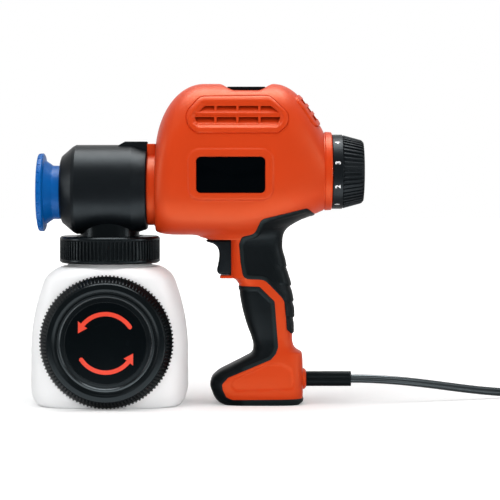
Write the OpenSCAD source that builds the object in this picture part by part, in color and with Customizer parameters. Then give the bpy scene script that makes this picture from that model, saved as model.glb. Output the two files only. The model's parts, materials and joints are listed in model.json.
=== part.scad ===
// Hand-held airless paint sprayer with a side-filled container.
// X runs from the spray tip to the control knob, Y across the gun, Z up.
// The origin is the centre of the container's foot, on the bench.

/* [Container] */
// Greatest width of the container, along the gun
container_w = 140; // [130:1:155]
// Depth of the container, across the gun
container_d = 92; // [86:1:104]
// Height of the container's shoulder above the bench
container_h = 124; // [120:1:136]
// Wall of the container
container_wall = 2.4; // [1.6:0.2:3.4]
// Outer radius of the container's top neck
neck_r = 37; // [34:0.5:39]

/* [Side lid] */
// Outer radius of the lid
lid_r = 59; // [54:0.5:60]
// Height of the lid from its rim to its face
lid_h = 13; // [11:0.5:16]
// Teeth round the lid's edge
lid_teeth = 108; // [90:2:140]

/* [Collar ring] */
// Outer radius of the ring that holds the container
ring_r = 45; // [42:0.5:48]
// Height of the ring
ring_h = 24; // [22:0.5:28]
// Ribs round the ring
ring_ribs = 80; // [60:2:90]

/* [Pump head] */
// Radius of the pump housing
pump_r = 40; // [39:0.5:41]
// Radius of the pump housing's front face
pump_face_r = 28; // [26:0.5:32]
// Height of the pump axis above the collar ring
pump_rise = 39; // [38:0.5:46]
// Reach of the pump housing in front of the container's axis
pump_reach = 43.5; // [42:0.5:50]
// Bore of the pump cylinder, which is the diameter of the piston
piston_d = 10; // [8:0.5:12]

/* [Spray tip] */
// Radius of the tip's flared rim
tip_rim_r = 35; // [31:0.5:38]
// Radius of the tip's neck
tip_neck_r = 24; // [20:0.5:26]
// Length of the tip outside the pump housing
tip_l = 20; // [16:0.5:24]

/* [Motor housing] */
// Width of the motor housing
body_w = 98; // [92:1:110]
// Height of the housing's top above the pump axis
body_rise = 97; // [93:1:104]
// Depth of the housing's bottom below the pump axis
body_drop = 38; // [36:0.5:40]
// Length of the rounded front
dome_l = 43.6; // [38:0.2:50]
// Length of the level middle
level_l = 62; // [58:0.5:70]
// Length of the sloping tail
tail_l = 44.7; // [40:0.1:50]
// Wall of the housing and the handle
housing_wall = 3; // [2.6:0.2:3.4]

/* [Handle] */
// Half width of the grip
grip_half_w = 18.5; // [17:0.5:21]
// Half width of the base
base_half_w = 23.5; // [22:0.5:28]
// Thickness of the soft grip pads
pad_t = 1.8; // [1.4:0.1:2]
// How far the soft pads stand proud of the handle
pad_proud = 0.5; // [0.2:0.1:0.8]

/* [Control knob] */
// Height of the knob's axis above the pump axis
knob_rise = 18.5; // [17:0.5:21]
// Radius of the knob at its number band
knob_r = 33.3; // [31:0.1:35]
// Radius of the knob at its back edge
knob_back_r = 28.6; // [26:0.1:30]
// Length of the knob
knob_l = 28.5; // [24:0.5:34]
// Ribs round the knob
knob_ribs = 48; // [40:2:72]

/* [Trigger] */
// Width of the trigger
trigger_w = 17; // [14:0.5:20]
// Travel of the trigger
trigger_travel = 6; // [4:0.5:7]

/* [Cord] */
// Width of the flat cord over both wires
cord_w = 7.6; // [7:0.1:8]
// Thickness of the flat cord
cord_t = 4; // [3.6:0.1:4.2]

/* [Hidden] */
$fn = 64;

// Clearances: between still pieces, moving pieces, and a shaft and its bore
fit_gap = 0.3;
move_gap = 0.4;
run_gap = 0.05;
far = 300;

// Heights up the container and the pump head
ring_gap = 3;
lip_t = 4;
flange_t = 3.5;
seal_t = 1.5;
ring_z = container_h + ring_gap;
ring_top = ring_z + ring_h;
flange_top = ring_top - lip_t - move_gap;
neck_top = flange_top - flange_t - seal_t;
pump_z = ring_top + pump_rise;
knob_z = pump_z + knob_rise;
body_top = pump_z + body_rise;
body_bottom = pump_z - body_drop;

// Stations along the gun
pump_front_x = -pump_reach;
pump_back_x = 34;
collar_l = 7.4;
body_front_x = pump_back_x + collar_l;
level_front_x = body_front_x + dome_l;
level_back_x = level_front_x + level_l;
body_back_x = level_back_x + tail_l;
rear_collar_l = 7.4;
knob_x = body_back_x + rear_collar_l + move_gap;
knob_back_x = knob_x + knob_l;

// Motor housing: sections are superellipses, round at both ends and squarer in the middle
nose_r = 34;
back_r = 36.5;
collar_r = 32;
body_power = 2.9;
tail_bend = 0.3;
cheek_l = 18;
belly_x = level_front_x + 26;
pod_sides = 20;
inner_sides = 10;

function clamp01(t) = min(1, max(0, t));
function quarter(t) = sqrt(1 - pow(1 - clamp01(t), 2));
function mix(a, b, t) = a + (b - a) * t;
function signed_power(v, p) = sign(v) * pow(abs(v), p);
function tail_fall(t) =
    (1 - sqrt(1 - pow(tail_bend * clamp01(t), 2))) / (1 - sqrt(1 - tail_bend * tail_bend));
function dome_share(x) = (x - body_front_x) / dome_l;
function tail_share(x) = (x - level_back_x) / tail_l;
function pod_top(x) = x < level_back_x
    ? mix(pump_z + nose_r, body_top, quarter(dome_share(x)))
    : mix(body_top, knob_z + back_r, tail_fall(tail_share(x)));
function pod_bottom(x) = x < belly_x
    ? mix(pump_z - nose_r, body_bottom, quarter(2.2 * dome_share(x)))
    : mix(body_bottom, knob_z - back_r, pow((x - belly_x) / (body_back_x - belly_x), 1.6));
function pod_half_w(x) = x < level_back_x
    ? mix(nose_r, body_w / 2, quarter((x - body_front_x) / cheek_l))
    : mix(body_w / 2, back_r, tail_fall(tail_share(x)));
function pod_power(x) = x < level_back_x
    ? mix(2, body_power, quarter(dome_share(x)))
    : mix(body_power, 2, tail_fall(tail_share(x)));
function pod_stations() = concat(
    [for (a = [0:15:75]) body_front_x + dome_l * (1 - cos(a))],
    [for (i = [0:3]) mix(level_front_x, level_back_x, i / 3)],
    [for (i = [1:5]) mix(level_back_x, body_back_x, i / 5)]
);
// Half of one section of the pod, from its top round the left side to its bottom
function pod_section(x, grow, sides) =
    let (
        mid = (pod_top(x) + pod_bottom(x)) / 2,
        half_h = (pod_top(x) - pod_bottom(x)) / 2 + grow,
        half_w = pod_half_w(x) + grow,
        p = 2 / pod_power(x)
    )
    [for (i = [0:sides])
        let (a = 90 - 180 * i / sides)
        [x, -half_w * pow(abs(cos(a)), p), mid + half_h * signed_power(sin(a), p)]];

// Handle rows: height, front, back, half width and squareness of each section.
// Heights up to the base's top follow the base; those above share the room up to the housing.
grip_x = body_front_x + 98.6;
base_h = 46;
grip_top_z = body_bottom - 4;
trigger_bottom_z = grip_z(0.69);
trigger_top_z = grip_top_z - 0.6;
trigger_front = 32;
lip_reach = 41;
function grip_z(t) = mix(base_h, grip_top_z, t);
handle_rows = [
    [0, 37, 30, base_half_w - 3.5, 4],
    [3.5, 43.5, 33.2, base_half_w - 1, 4],
    [11, 47.7, 33.6, base_half_w, 4],
    [18, 49.6, 33.6, base_half_w, 4],
    [24, 48, 33.6, base_half_w - 0.3, 4],
    [29.5, 42.5, 33.5, base_half_w - 1, 4],
    [36, 30.5, 33.4, base_half_w - 2, 3.8],
    [42, 19, 33.2, base_half_w - 3, 3.6],
    [base_h, 12.5, 32.6, grip_half_w + 1, 3.4],
    [grip_z(0.03), 11, 28, grip_half_w + 0.2, 3],
    [grip_z(0.07), 10.8, 25, grip_half_w - 0.5, 2.8],
    [grip_z(0.13), 12.2, 24, grip_half_w - 1, 2.6],
    [grip_z(0.24), 16.3, 25, grip_half_w - 0.5, 2.5],
    [grip_z(0.39), 20.6, 25.3, grip_half_w, 2.5],
    [grip_z(0.5), 22.7, 24, grip_half_w, 2.5],
    [grip_z(0.6), 24, 22.5, grip_half_w - 0.3, 2.6],
    [grip_z(0.64), 28.5, 21.5, grip_half_w - 0.5, 2.8],
    [grip_z(0.67), trigger_front, 20.8, grip_half_w - 0.7, 3],
    [grip_z(0.82), trigger_front, 17.7, grip_half_w - 1.3, 3],
    [grip_z(0.94), trigger_front, 14.8, grip_half_w - 0.9, 3],
    [grip_top_z, trigger_front, 15, grip_half_w, 3],
    [grip_top_z + 0.8, 52, 15.2, grip_half_w + 0.5, 3],
    [grip_top_z + 8, 58, 17, grip_half_w + 3.5, 2.6],
    [grip_top_z + 13, 58, 20.5, grip_half_w + 6.5, 2.4],
    [grip_top_z + 17, 56, 26, grip_half_w + 8.5, 2.3],
    [grip_top_z + 21, 50, 35, grip_half_w + 9.5, 2.2],
    [grip_top_z + 23.5, 44, 43, grip_half_w + 7.5, 2.2]
];
handle_sides = 14;
// Half of one section of the handle, from its front round the left side to its back
function handle_section(row, grow, foot, sides) =
    let (
        mid = grip_x + (row[2] - row[1]) / 2,
        half_l = (row[2] + row[1]) / 2 + grow,
        half_w = row[3] + grow,
        p = 2 / row[4]
    )
    [for (i = [0:sides])
        let (a = 180 - 180 * i / sides)
        [mid + half_l * signed_power(cos(a), p), -half_w * pow(abs(sin(a)), p), max(row[0], foot)]];

// A closed skin over rings that hold the same number of points
module skin(rings) {
    n = len(rings[0]);
    m = len(rings);
    polyhedron(
        [for (ring = rings, p = ring) p],
        concat(
            [for (i = [0:m - 2], j = [0:n - 1])
                let (a = i * n + j, b = i * n + (j + 1) % n)
                each [[a, a + n, b + n], [a, b + n, b]]],
            [[for (j = [0:n - 1]) j]],
            [[for (j = [n - 1:-1:0]) (m - 1) * n + j]]
        )
    );
}

// Left halves of the pod and the handle as closed solids, grown or shrunk all round
module pod_half(grow, sides) {
    skin([for (x = pod_stations()) pod_section(x, grow, sides)]);
}
module pod_tail(grow, sides) {
    skin([for (x = pod_stations()) if (x > level_front_x) pod_section(x, grow, sides)]);
}
// The hollow inside lags behind the skin at the nose, so that the front wall keeps its thickness
function core_section(x) =
    let (lag = min(x - body_front_x, housing_wall * (1 - clamp01(dome_share(x)))))
    [for (p = pod_section(x - lag, -housing_wall, inner_sides)) p + [lag, 0, 0]];
module pod_core() {
    skin(concat(
        [[for (p = pod_section(body_front_x, -housing_wall, inner_sides)) p - [1, 0, 0]]],
        [for (x = pod_stations()) core_section(x)],
        [[for (p = pod_section(body_back_x, -housing_wall, inner_sides)) p + [1, 0, 0]]]
    ));
}
// The handle from one height to another; its bottom stands at the height of its foot
module handle_part(grow, foot, sides, low, high) {
    rows = [
        for (row = handle_rows)
            if (row[0] >= low && row[0] <= high && (row[0] > foot || row[0] == 0)) row
    ];
    skin([for (row = rows) handle_section(row, grow, foot, sides)]);
}
module handle_half(grow, foot, sides) {
    handle_part(grow, foot, sides, 0, body_top);
}

// A solid turned about X: the profile holds [radius, x] points
module turned_x(profile, z) {
    translate([0, 0, z]) rotate([0, 90, 0]) rotate_extrude() polygon(profile);
}
module rod_x(r, x0, x1, z) {
    translate([x0, 0, z]) rotate([0, 90, 0]) cylinder(r = r, h = x1 - x0);
}
module rod_y(r, y0, y1, x, z) {
    translate([x, y1, z]) rotate([90, 0, 0]) cylinder(r = r, h = y1 - y0);
}
module block(x, y, z) {
    translate([x[0], y[0], z[0]]) cube([x[1] - x[0], y[1] - y[0], z[1] - z[0]]);
}
// An outline drawn in X and Z, cut through Y from y0 to y1
module side_prism(points, y0, y1) {
    translate([0, y1, 0]) rotate([90, 0, 0]) linear_extrude(y1 - y0) polygon(points);
}
// A rectangle with round corners in X and Z, cut through Y from y0 to y1
module side_slot(x, z, r, y0, y1) {
    translate([0, y1, 0]) rotate([90, 0, 0]) linear_extrude(y1 - y0) union() {
        translate([x[0] + r, z[0]]) square([x[1] - x[0] - 2 * r, z[1] - z[0]]);
        translate([x[0], z[0] + r]) square([x[1] - x[0], z[1] - z[0] - 2 * r]);
        for (cx = [x[0] + r, x[1] - r], cz = [z[0] + r, z[1] - r]) translate([cx, cz]) circle(r);
    }
}
// A toothed disc: teeth of the given depth inside radius r, and where a tooth's top and foot end in its pitch
module toothed(r, depth, teeth, ends = [0, 0.22, 0.5, 0.72]) {
    step = 360 / teeth;
    polygon([for (i = [0:teeth - 1], k = [0:3])
        let (a = step * (i + ends[k]), q = k < 2 ? r : r - depth)
        [q * cos(a), q * sin(a)]]);
}

// Motor housing details
vent_mid_x = mix(level_front_x, level_back_x, 0.5) - 1;
vent_mid_z = body_top - 28.5;
vent_l = 75;
vent_h = 15.5;
vent_bar = 2;
vent_columns = 4;
vent_proud = 1.4;
badge_x = [level_front_x - 7, level_front_x + 56];
badge_z = [pump_z - 0.5, pump_z + 32.5];
badge_rim = 8;
badge_r = 4;
badge_t = 1.2;
badge_floor_y = body_w / 2 - 1.6;
saddle_mid_x = mix(level_front_x, level_back_x, 0.608);
saddle_l = 49.4;
saddle_floor_l = 24;
saddle_depth = 6.4;
pad_half_w = 25;
top_pad_l = 35;
top_pad_drop = 2.3;
rear_vent_tilt = 54;
rear_vent_x = mix(level_back_x, body_back_x, 0.73);
rear_vent_slots = 3;
rear_vent_pitch = 8.6;
rear_vent_slot = 5.4;
rear_vent_half_w = 22;
rear_frame_half_w = 28.5;

// Screws that close the housing, driven from the right: positions and the boss they enter
screw_r = 1.7;
screw_head_r = 3.4;
screw_head_h = 2.6;
boss_r = 5;
boss_split = 6;
screw_places = [
    [body_front_x + 10, pump_z + 55],
    [level_back_x + 11, body_top - 19],
    [level_front_x - 18, body_bottom + 13],
    [body_back_x - 22, knob_z - 24],
    [grip_x + 13.5, grip_z(0.33)],
    [grip_x - 30, 17],
    [grip_x + 20, 36]
];

// Drive: a hinged armature, drawn to a fixed core, pushes the piston
core_front_x = body_front_x + 18;
core_l = 38;
core_half_w = 17;
core_leg = 12;
core_low_z = pump_z + 24;
core_high_z = core_low_z + 34;
pole_x = core_front_x + core_l;
air_gap = 4;
armature_t = 6;
armature_x = pole_x + air_gap;
armature_low_z = pump_z - 9;
hinge_r = 3;
hinge_x = armature_x + armature_t / 2;
hinge_z = core_high_z + core_leg + 7;
knuckle_r = 6;
frame_t = 2;
frame_low_z = core_high_z - 8;
bobbin_wall = 1.5;
coil_build = 7;
piston_r = piston_d / 2;
cylinder_r = 11;
retainer_r = 12;
retainer_t = 4;
retainer_x = armature_x - 14;

// Pump head
pump_chamfer = 12;
pump_taper_x = 20.5;
boss_r_pump = 26.5;
flange_r = neck_r;
key_half_w = 10;
key_rise = 3;
socket_r = 15;
socket_l = 14;
tube_r = 5;
tube_bore_r = 3.4;
filter_r = 11;
filter_h = 15;
filter_floor = container_wall + 3;
cylinder_front_x = pump_front_x + socket_l;
cylinder_back_x = pump_back_x + 4;
head_lift = 2.6;
head_z = pump_z + head_lift;
spigot_r = 24;
spigot_l = 10;

// Relief in the ring's top, where the pump housing's belly dips below it
relief_h = max(1, pump_r - pump_rise - head_lift + 2 * move_gap);
relief_r = max(boss_r_pump + 1, 0.6 + norm([
    pump_reach - pump_chamfer - 2,
    sqrt(max(0, pump_r * pump_r - pow(pump_rise + head_lift - 2 * move_gap, 2)))
]));

// Lid and its mouth
mouth_wall = 4;
thread_gap = 1;
lid_skin = 3;
lid_face_y = container_d / 2 + lid_h + 0.8;
mouth_r = lid_r - 7.5 - thread_gap;
mouth_end_y = lid_face_y - lid_skin - seal_t;
lid_z = lid_r + 0.1;

// Knob and flow screw
stem_r = 4;
nut_r = 8;
hub_r = 12;
hub_l = 20;
knob_band = 9;
knob_wall = 2.5;
stem_tip_x = armature_x + armature_t + fit_gap;
stem_drive_r = 6;

// Trigger and switch
trigger_x = grip_x - trigger_front;
trigger_h = trigger_top_z - trigger_bottom_z;
trigger_back_x = trigger_x + 9;
switch_x = trigger_back_x + trigger_travel + 3;
switch_l = 14;
switch_half_w = 9;
switch_z = [trigger_bottom_z + 6, trigger_bottom_z + 28];
plunger_r = 2.5;

// Cord: the route's points run from the guard to the coil
guard_r = 4.4;
guard_spread = 2.35;
guard_z = 22;
guard_x0 = grip_x + 22;
guard_x1 = grip_x + 77;
gland_r = 9.5;
gland_x1 = grip_x + 36.5;

// Half shells
// The vent's opening and its rim, drawn about the vent's middle
vent_opening = [
    [-37.5, -1.1], [-36.4, -5], [-34, -7.75], [34.5, -7.75], [36.6, -5.3], [37.5, -1.3], [35.4, 2.9],
    [29.2, 7.75], [-28.6, 7.75], [-33.7, 2.9]
];
vent_border = [
    [-44.8, -2.6], [-42.5, -10.4], [-35.5, -16], [35.5, -15.8], [43, -9.6], [44.6, -3.3], [43.4, 2.3],
    [28.1, 16.7], [-32.8, 15.9], [-43.4, 3.6]
];
module vent_outline(points) {
    side_prism(
        [for (p = points) [vent_mid_x + p[0] * vent_l / 75, vent_mid_z + p[1] * vent_h / 15.5]],
        -body_w, -body_w / 5);
}
module vent_windows() {
    column = (vent_l - (vent_columns - 1) * vent_bar) / vent_columns;
    row = (vent_h - 2 * vent_bar) / 2;
    intersection() {
        vent_outline(vent_opening);
        for (i = [0:vent_columns - 1], k = [0, 1])
            translate([vent_mid_x - vent_l / 2 + i * (column + vent_bar), -body_w,
                       vent_mid_z - vent_h / 2 + k * (row + 2 * vent_bar)])
                cube([column, body_w * 0.8, row]);
    }
}
module badge_outline(rim) {
    side_slot([badge_x[0] - rim, badge_x[1] + rim], [badge_z[0] - rim, badge_z[1] + rim],
              badge_r + rim, -body_w, -body_w / 5);
}
module rear_vent_frame() {
    translate([rear_vent_x, 0, pod_top(rear_vent_x)]) rotate([0, rear_vent_tilt, 0]) children();
}
module rear_vent_slots_cut() {
    rear_vent_frame() for (i = [0:rear_vent_slots - 1])
        translate([(i - (rear_vent_slots - 1) / 2) * rear_vent_pitch - rear_vent_slot / 2, 0, -15])
            translate([0, -rear_vent_half_w, 0]) cube([rear_vent_slot, 2 * rear_vent_half_w, 27]);
}
module saddle_cut() {
    side_prism([
        [saddle_mid_x - saddle_l / 2, body_top + 1],
        [saddle_mid_x - saddle_floor_l / 2, body_top - saddle_depth],
        [saddle_mid_x + saddle_floor_l / 2, body_top - saddle_depth],
        [saddle_mid_x + saddle_l / 2, body_top + 1]
    ], -body_w, body_w);
}
// Slats behind the vent's two rows, that let air in and keep spray out
module vent_slats() {
    for (row = [[2.8, -9.9], [4.8, -0.1]])
        translate([vent_mid_x - vent_l / 2 - 1, row[0] - body_w / 2, vent_mid_z + row[1]])
            rotate([90, 0, 90]) linear_extrude(vent_l + 2)
                polygon([[0, 0], [9.2, 6.6], [9.2, 8.4], [0, 1.8]]);
}
// What a half shell has inside: screw bosses, slats, and ribs that clamp the drive and the switch
module inside_ribs() {
    for (p = screw_places) rod_y(boss_r, -body_w, 0, p[0], p[1]);
    vent_slats();
    block([core_front_x + 4, core_front_x + 8], [-body_w, -core_half_w - frame_t],
          [frame_low_z + 3, core_high_z + core_leg - 3]);
    block([pole_x - 8, pole_x - 4], [-body_w, -core_half_w - frame_t],
          [frame_low_z + 1, vent_mid_z - vent_h / 2 - 1]);
    block([switch_x + 3, switch_x + switch_l - 3], [-body_w, -switch_half_w],
          [switch_z[0] + 3, switch_z[1] - 3]);
    block([saddle_mid_x - saddle_l / 2 - 2, saddle_mid_x + saddle_l / 2 + 2], [-body_w, 0],
          [body_top - saddle_depth - housing_wall, body_top]);
}
module raised_frames(badged) {
    intersection() {
        union() {
            vent_outline(vent_border);
            if (badged) badge_outline(badge_rim);
            rear_vent_frame() translate([-17, -rear_frame_half_w, -18]) cube([34, rear_frame_half_w, 34]);
        }
        pod_half(vent_proud, pod_sides);
    }
}
// A shallow panel sunk in the side of the base
panel_depth = 1.3;
module base_panel() {
    side_prism([
        [grip_x - 31.5, 18.2], [grip_x - 29, 23.7], [grip_x + 0.8, 37.3], [grip_x + 14, 37.7],
        [grip_x + 23.5, 32.5], [grip_x + 25, 22], [grip_x + 25, 14.5], [grip_x - 27.3, 12.7]
    ], -body_w, panel_depth - base_half_w);
}
module half_shell(badged) {
    difference() {
        union() {
            pod_half(0, pod_sides);
            handle_half(0, 0, handle_sides);
            raised_frames(badged);
            rod_x(gland_r, grip_x + 24, gland_x1, guard_z);
            block([grip_x - lip_reach, grip_x - trigger_front + 4], [-grip_half_w + 8, 0],
                  [trigger_bottom_z - 3.4, trigger_bottom_z - 0.8]);
        }
        difference() {
            union() {
                pod_core();
                handle_half(-housing_wall, housing_wall, inner_sides);
            }
            inside_ribs();
        }
        difference() {
            vent_windows();
            inside_ribs();
        }
        rear_vent_slots_cut();
        saddle_cut();
        if (badged) intersection() {
            badge_outline(0);
            block([0, far], [-body_w, -badge_floor_y], [0, far]);
        }
        block([trigger_x - 5, trigger_back_x + trigger_travel + 2], [-trigger_w / 2 - move_gap, far],
              [trigger_bottom_z - move_gap, trigger_top_z + move_gap]);
        guard_outline(guard_x0, guard_x1);
        difference() {
            base_panel();
            rod_x(gland_r, grip_x + 18, gland_x1, guard_z);
        }
        difference() {
            upper_pad_outline();
            upper_pad_seat();
        }
        difference() {
            lower_pad_outline();
            lower_pad_seat();
        }
        block([-far, far], [0, far], [-far, far]);
    }
}
module housing_left() {
    color("orangered") difference() {
        half_shell(true);
        for (p = screw_places) rod_y(screw_r, -boss_split * 2, far, p[0], p[1]);
    }
}
module housing_right() {
    color("orangered") mirror([0, 1, 0]) difference() {
        half_shell(false);
        for (p = screw_places) {
            rod_y(screw_r + fit_gap, -body_w, far, p[0], p[1]);
            rod_y(screw_head_r + fit_gap, -body_w, -boss_split, p[0], p[1]);
        }
    }
}

// Soft pads: outlines in X and Z, from the photographed parting lines
module upper_pad_outline() {
    side_prism([
        [grip_x + 70, grip_top_z + 27], [grip_x + 38, grip_top_z + 27], [grip_x - 3, grip_top_z + 17],
        [grip_x - 10, grip_top_z + 6], [grip_x - 21, grip_top_z + 3], [grip_x - 24, grip_top_z],
        [grip_x - 22.5, grip_z(0.8)], [grip_x - 20.5, grip_z(0.68)], [grip_x - 17, grip_z(0.655)],
        [grip_x - 2, grip_z(0.65)], [grip_x + 6, grip_z(0.6)], [grip_x + 16, grip_z(0.48)],
        [grip_x + 18, grip_z(0.33)], [grip_x + 19, grip_z(0.21)], [grip_x + 24, grip_z(0.165)],
        [grip_x + 70, grip_z(0.165)]
    ], -body_w, 0);
}
module lower_pad_outline() {
    side_prism([
        [grip_x - 60, grip_z(0.595)], [grip_x - 5.5, grip_z(0.59)], [grip_x + 8, grip_z(0.46)],
        [grip_x + 11.2, grip_z(0.06)], [grip_x + 9, base_h], [grip_x + 4.6, base_h - 5],
        [grip_x - 33.6, 25], [grip_x - 39, 19], [grip_x - 38.3, 14], [grip_x - 35, 7.4],
        [grip_x - 29.7, 5.2], [grip_x + 60, 5.9], [grip_x + 60, -1], [grip_x - 60, -1]
    ], -body_w, 0);
}
// The outer face of each pad, and the seat it lies on
module upper_pad_face() {
    pod_tail(pad_proud, pod_sides);
    handle_part(pad_proud, 0, handle_sides, base_h, body_top);
}
module upper_pad_seat() {
    pod_tail(-pad_t, inner_sides);
    handle_part(-pad_t, 0, inner_sides, base_h, body_top);
}
module lower_pad_face() {
    handle_part(pad_proud, 0, handle_sides, 0, grip_z(0.7));
}
module lower_pad_seat() {
    handle_part(-pad_t, pad_t, inner_sides, 0, grip_z(0.7));
}
grip_notches = [[0.756, 19.2], [0.586, 22.8], [0.445, 25], [0.304, 25.4]];
module grip_upper() {
    difference() {
        grip_upper_plain();
        for (n = grip_notches)
            let (x = grip_x + n[1], z = grip_z(n[0]))
            side_prism([[x + 4, z + 1.6], [x - 2.2, z], [x + 4, z - 0.6]], -12, 1);
    }
}
module grip_upper_plain() {
    intersection() {
        upper_pad_outline();
        difference() {
            upper_pad_face();
            upper_pad_seat();
        }
    }
}
module grip_lower() {
    intersection() {
        lower_pad_outline();
        difference() {
            lower_pad_face();
            lower_pad_seat();
        }
    }
}
module grip_upper_left() { color("dimgray") grip_upper(); }
module grip_upper_right() { color("dimgray") mirror([0, 1, 0]) grip_upper(); }
module grip_lower_left() { color("dimgray") grip_lower(); }
module grip_lower_right() { color("dimgray") mirror([0, 1, 0]) grip_lower(); }

module top_pad() {
    color("darkslategray") side_prism([
        [saddle_mid_x - saddle_floor_l / 2 + fit_gap, body_top - saddle_depth],
        [saddle_mid_x + saddle_floor_l / 2 - fit_gap, body_top - saddle_depth],
        [saddle_mid_x + top_pad_l / 2, body_top - top_pad_drop - 0.8],
        [saddle_mid_x + top_pad_l / 2 - 1, body_top - top_pad_drop],
        [saddle_mid_x - top_pad_l / 2 + 1, body_top - top_pad_drop],
        [saddle_mid_x - top_pad_l / 2, body_top - top_pad_drop - 0.8]
    ], -pad_half_w, pad_half_w);
}
module badge_plate() {
    color("black") side_slot(
        [badge_x[0] + fit_gap, badge_x[1] - fit_gap], [badge_z[0] + fit_gap, badge_z[1] - fit_gap],
        badge_r - fit_gap, -badge_floor_y - badge_t, -badge_floor_y);
}
module housing_screws() {
    color("silver") for (p = screw_places) {
        rod_y(screw_r, -boss_split * 2 + 2, boss_split, p[0], p[1]);
        rod_y(screw_head_r, boss_split, boss_split + screw_head_h, p[0], p[1]);
    }
}

// Collars that close the ends of the housing
module front_collar() {
    color("orangered") difference() {
        union() {
            rod_x(collar_r, pump_back_x, body_front_x, head_z);
            rod_x(nose_r - housing_wall - 0.6, body_front_x - 1, body_front_x + 6, pump_z);
            block([pump_back_x, body_front_x], [-key_half_w, key_half_w],
                [head_z, head_z + pump_r + key_rise - 2]);
        }
        rod_x(spigot_r + fit_gap, pump_back_x - 1, body_front_x + 7, head_z);
    }
}
module rear_collar() {
    inner_r = back_r - housing_wall - 0.6;
    color("orangered") difference() {
        union() {
            rod_x(back_r, body_back_x, body_back_x + rear_collar_l, knob_z);
            rod_x(inner_r, body_back_x - 6, body_back_x, knob_z);
            rod_x(hub_r, body_back_x - hub_l, body_back_x, knob_z);
        }
        rod_x(inner_r - 3, body_back_x - 3, body_back_x + rear_collar_l + 1, knob_z);
        rod_x(nut_r, body_back_x - hub_l - 1, body_back_x, knob_z);
    }
}
module flow_nut() {
    color("goldenrod") difference() {
        rod_x(nut_r, body_back_x - hub_l, body_back_x - 4, knob_z);
        rod_x(stem_r + run_gap, body_back_x - hub_l - 1, body_back_x, knob_z);
    }
}
module flow_screw() {
    color("silver") union() {
        rod_x(stem_r, stem_tip_x, knob_x + 2, knob_z);
        rod_x(stem_drive_r, knob_x + 2, knob_x + 10, knob_z);
    }
}
module control_knob() {
    rib_depth = 1;
    edge = 3;
    color("dimgray") difference() {
        union() {
            turned_x([
                [0, knob_x], [knob_r, knob_x], [knob_r, knob_x + knob_band],
                [knob_r - rib_depth, knob_x + knob_band],
                [knob_back_r - rib_depth, knob_back_x - edge],
                [knob_back_r - 3.8, knob_back_x], [0, knob_back_x]
            ], knob_z);
            intersection() {
                turned_x([
                    [0, knob_x + knob_band], [knob_r - 0.4, knob_x + knob_band],
                    [knob_back_r, knob_back_x - edge], [knob_back_r - 3.8, knob_back_x],
                    [0, knob_back_x]
                ], knob_z);
                translate([knob_x, 0, knob_z]) rotate([0, 90, 0])
                    linear_extrude(knob_l)
                        toothed(knob_r, knob_r - knob_back_r + 4, knob_ribs, [0, 0.44, 0.5, 0.94]);
            }
        }
        rod_x(knob_r - knob_wall, knob_x - 1, knob_x + 2, knob_z);
        difference() {
            rod_x(knob_back_r - knob_wall - 2, knob_x - 1, knob_back_x - knob_wall, knob_z);
            rod_x(stem_drive_r + 3, knob_x - 1, knob_back_x, knob_z);
        }
        rod_x(stem_drive_r + run_gap, knob_x - 2, knob_x + 12, knob_z);
    }
}

// Pump head: a moulded cup, open to the rear, with sleeves for the cylinder and the tube
module pump_cavity() {
    skin_t = 3.5;
    difference() {
        union() {
            turned_x([
                [0, cylinder_front_x + 3], [pump_face_r + 3, cylinder_front_x + 3],
                [pump_r - skin_t, cylinder_front_x + 7], [pump_r - skin_t, pump_taper_x - 1],
                [collar_r, pump_back_x - skin_t], [0, pump_back_x - skin_t]
            ], head_z);
            rod_x(spigot_r - skin_t, pump_back_x - skin_t - 1, pump_back_x + spigot_l + 1, head_z);
            translate([0, 0, flange_top + 2]) cylinder(r = boss_r_pump - skin_t, h = pump_z - flange_top + 3);
        }
        rod_x(cylinder_r + 3, cylinder_front_x - 2, pump_back_x - 6, pump_z);
        translate([0, 0, flange_top - 1]) cylinder(r = tube_r + 3, h = pump_z - flange_top);
    }
}
module pump_housing() {
    color("dimgray") difference() {
        union() {
            turned_x([
                [0, pump_front_x], [pump_face_r, pump_front_x], [pump_face_r + 2, pump_front_x + 1],
                [pump_r - 1.5, pump_front_x + pump_chamfer - 1], [pump_r, pump_front_x + pump_chamfer + 2],
                [pump_r, pump_taper_x], [collar_r + 4, pump_back_x - 1], [collar_r + 3, pump_back_x],
                [0, pump_back_x]
            ], head_z);
            rod_x(spigot_r, pump_back_x - 1, pump_back_x + spigot_l, head_z);
            translate([0, 0, flange_top - flange_t])
                cylinder(r = boss_r_pump, h = pump_z - flange_top + flange_t);
            translate([0, 0, flange_top - flange_t]) cylinder(r = flange_r, h = flange_t);
            side_prism([
                [pump_taper_x - 13, head_z + pump_r - 3], [pump_taper_x - 12, head_z + pump_r - 0.3],
                [pump_taper_x - 6, head_z + pump_r + key_rise], [pump_back_x, head_z + pump_r + key_rise],
                [pump_back_x, head_z + pump_r - 8]
            ], -key_half_w, key_half_w);
        }
        pump_cavity();
        rod_x(socket_r + run_gap, pump_front_x - 1, cylinder_front_x, pump_z);
        rod_x(cylinder_r + run_gap, cylinder_front_x - 1, cylinder_back_x, pump_z);
        translate([0, 0, flange_top - flange_t - 1]) cylinder(r = tube_r, h = pump_z - flange_top);
    }
}
module pump_cylinder() {
    color("silver") difference() {
        rod_x(cylinder_r, cylinder_front_x, cylinder_back_x - 2, pump_z);
        rod_x(piston_r + run_gap, cylinder_front_x - 1, cylinder_back_x, pump_z);
        translate([0, 0, pump_z - cylinder_r - 1]) cylinder(r = tube_bore_r, h = cylinder_r);
    }
}
module piston() {
    end_x = armature_x - fit_gap;
    dome = 3 * piston_r;
    color("lightgray") turned_x(concat(
        [[0, cylinder_front_x + 6], [piston_r, cylinder_front_x + 6]],
        [for (i = [5:-1:0]) let (r = piston_r * i / 5) [r, end_x - dome + sqrt(dome * dome - r * r)]]
    ), pump_z);
}
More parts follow.
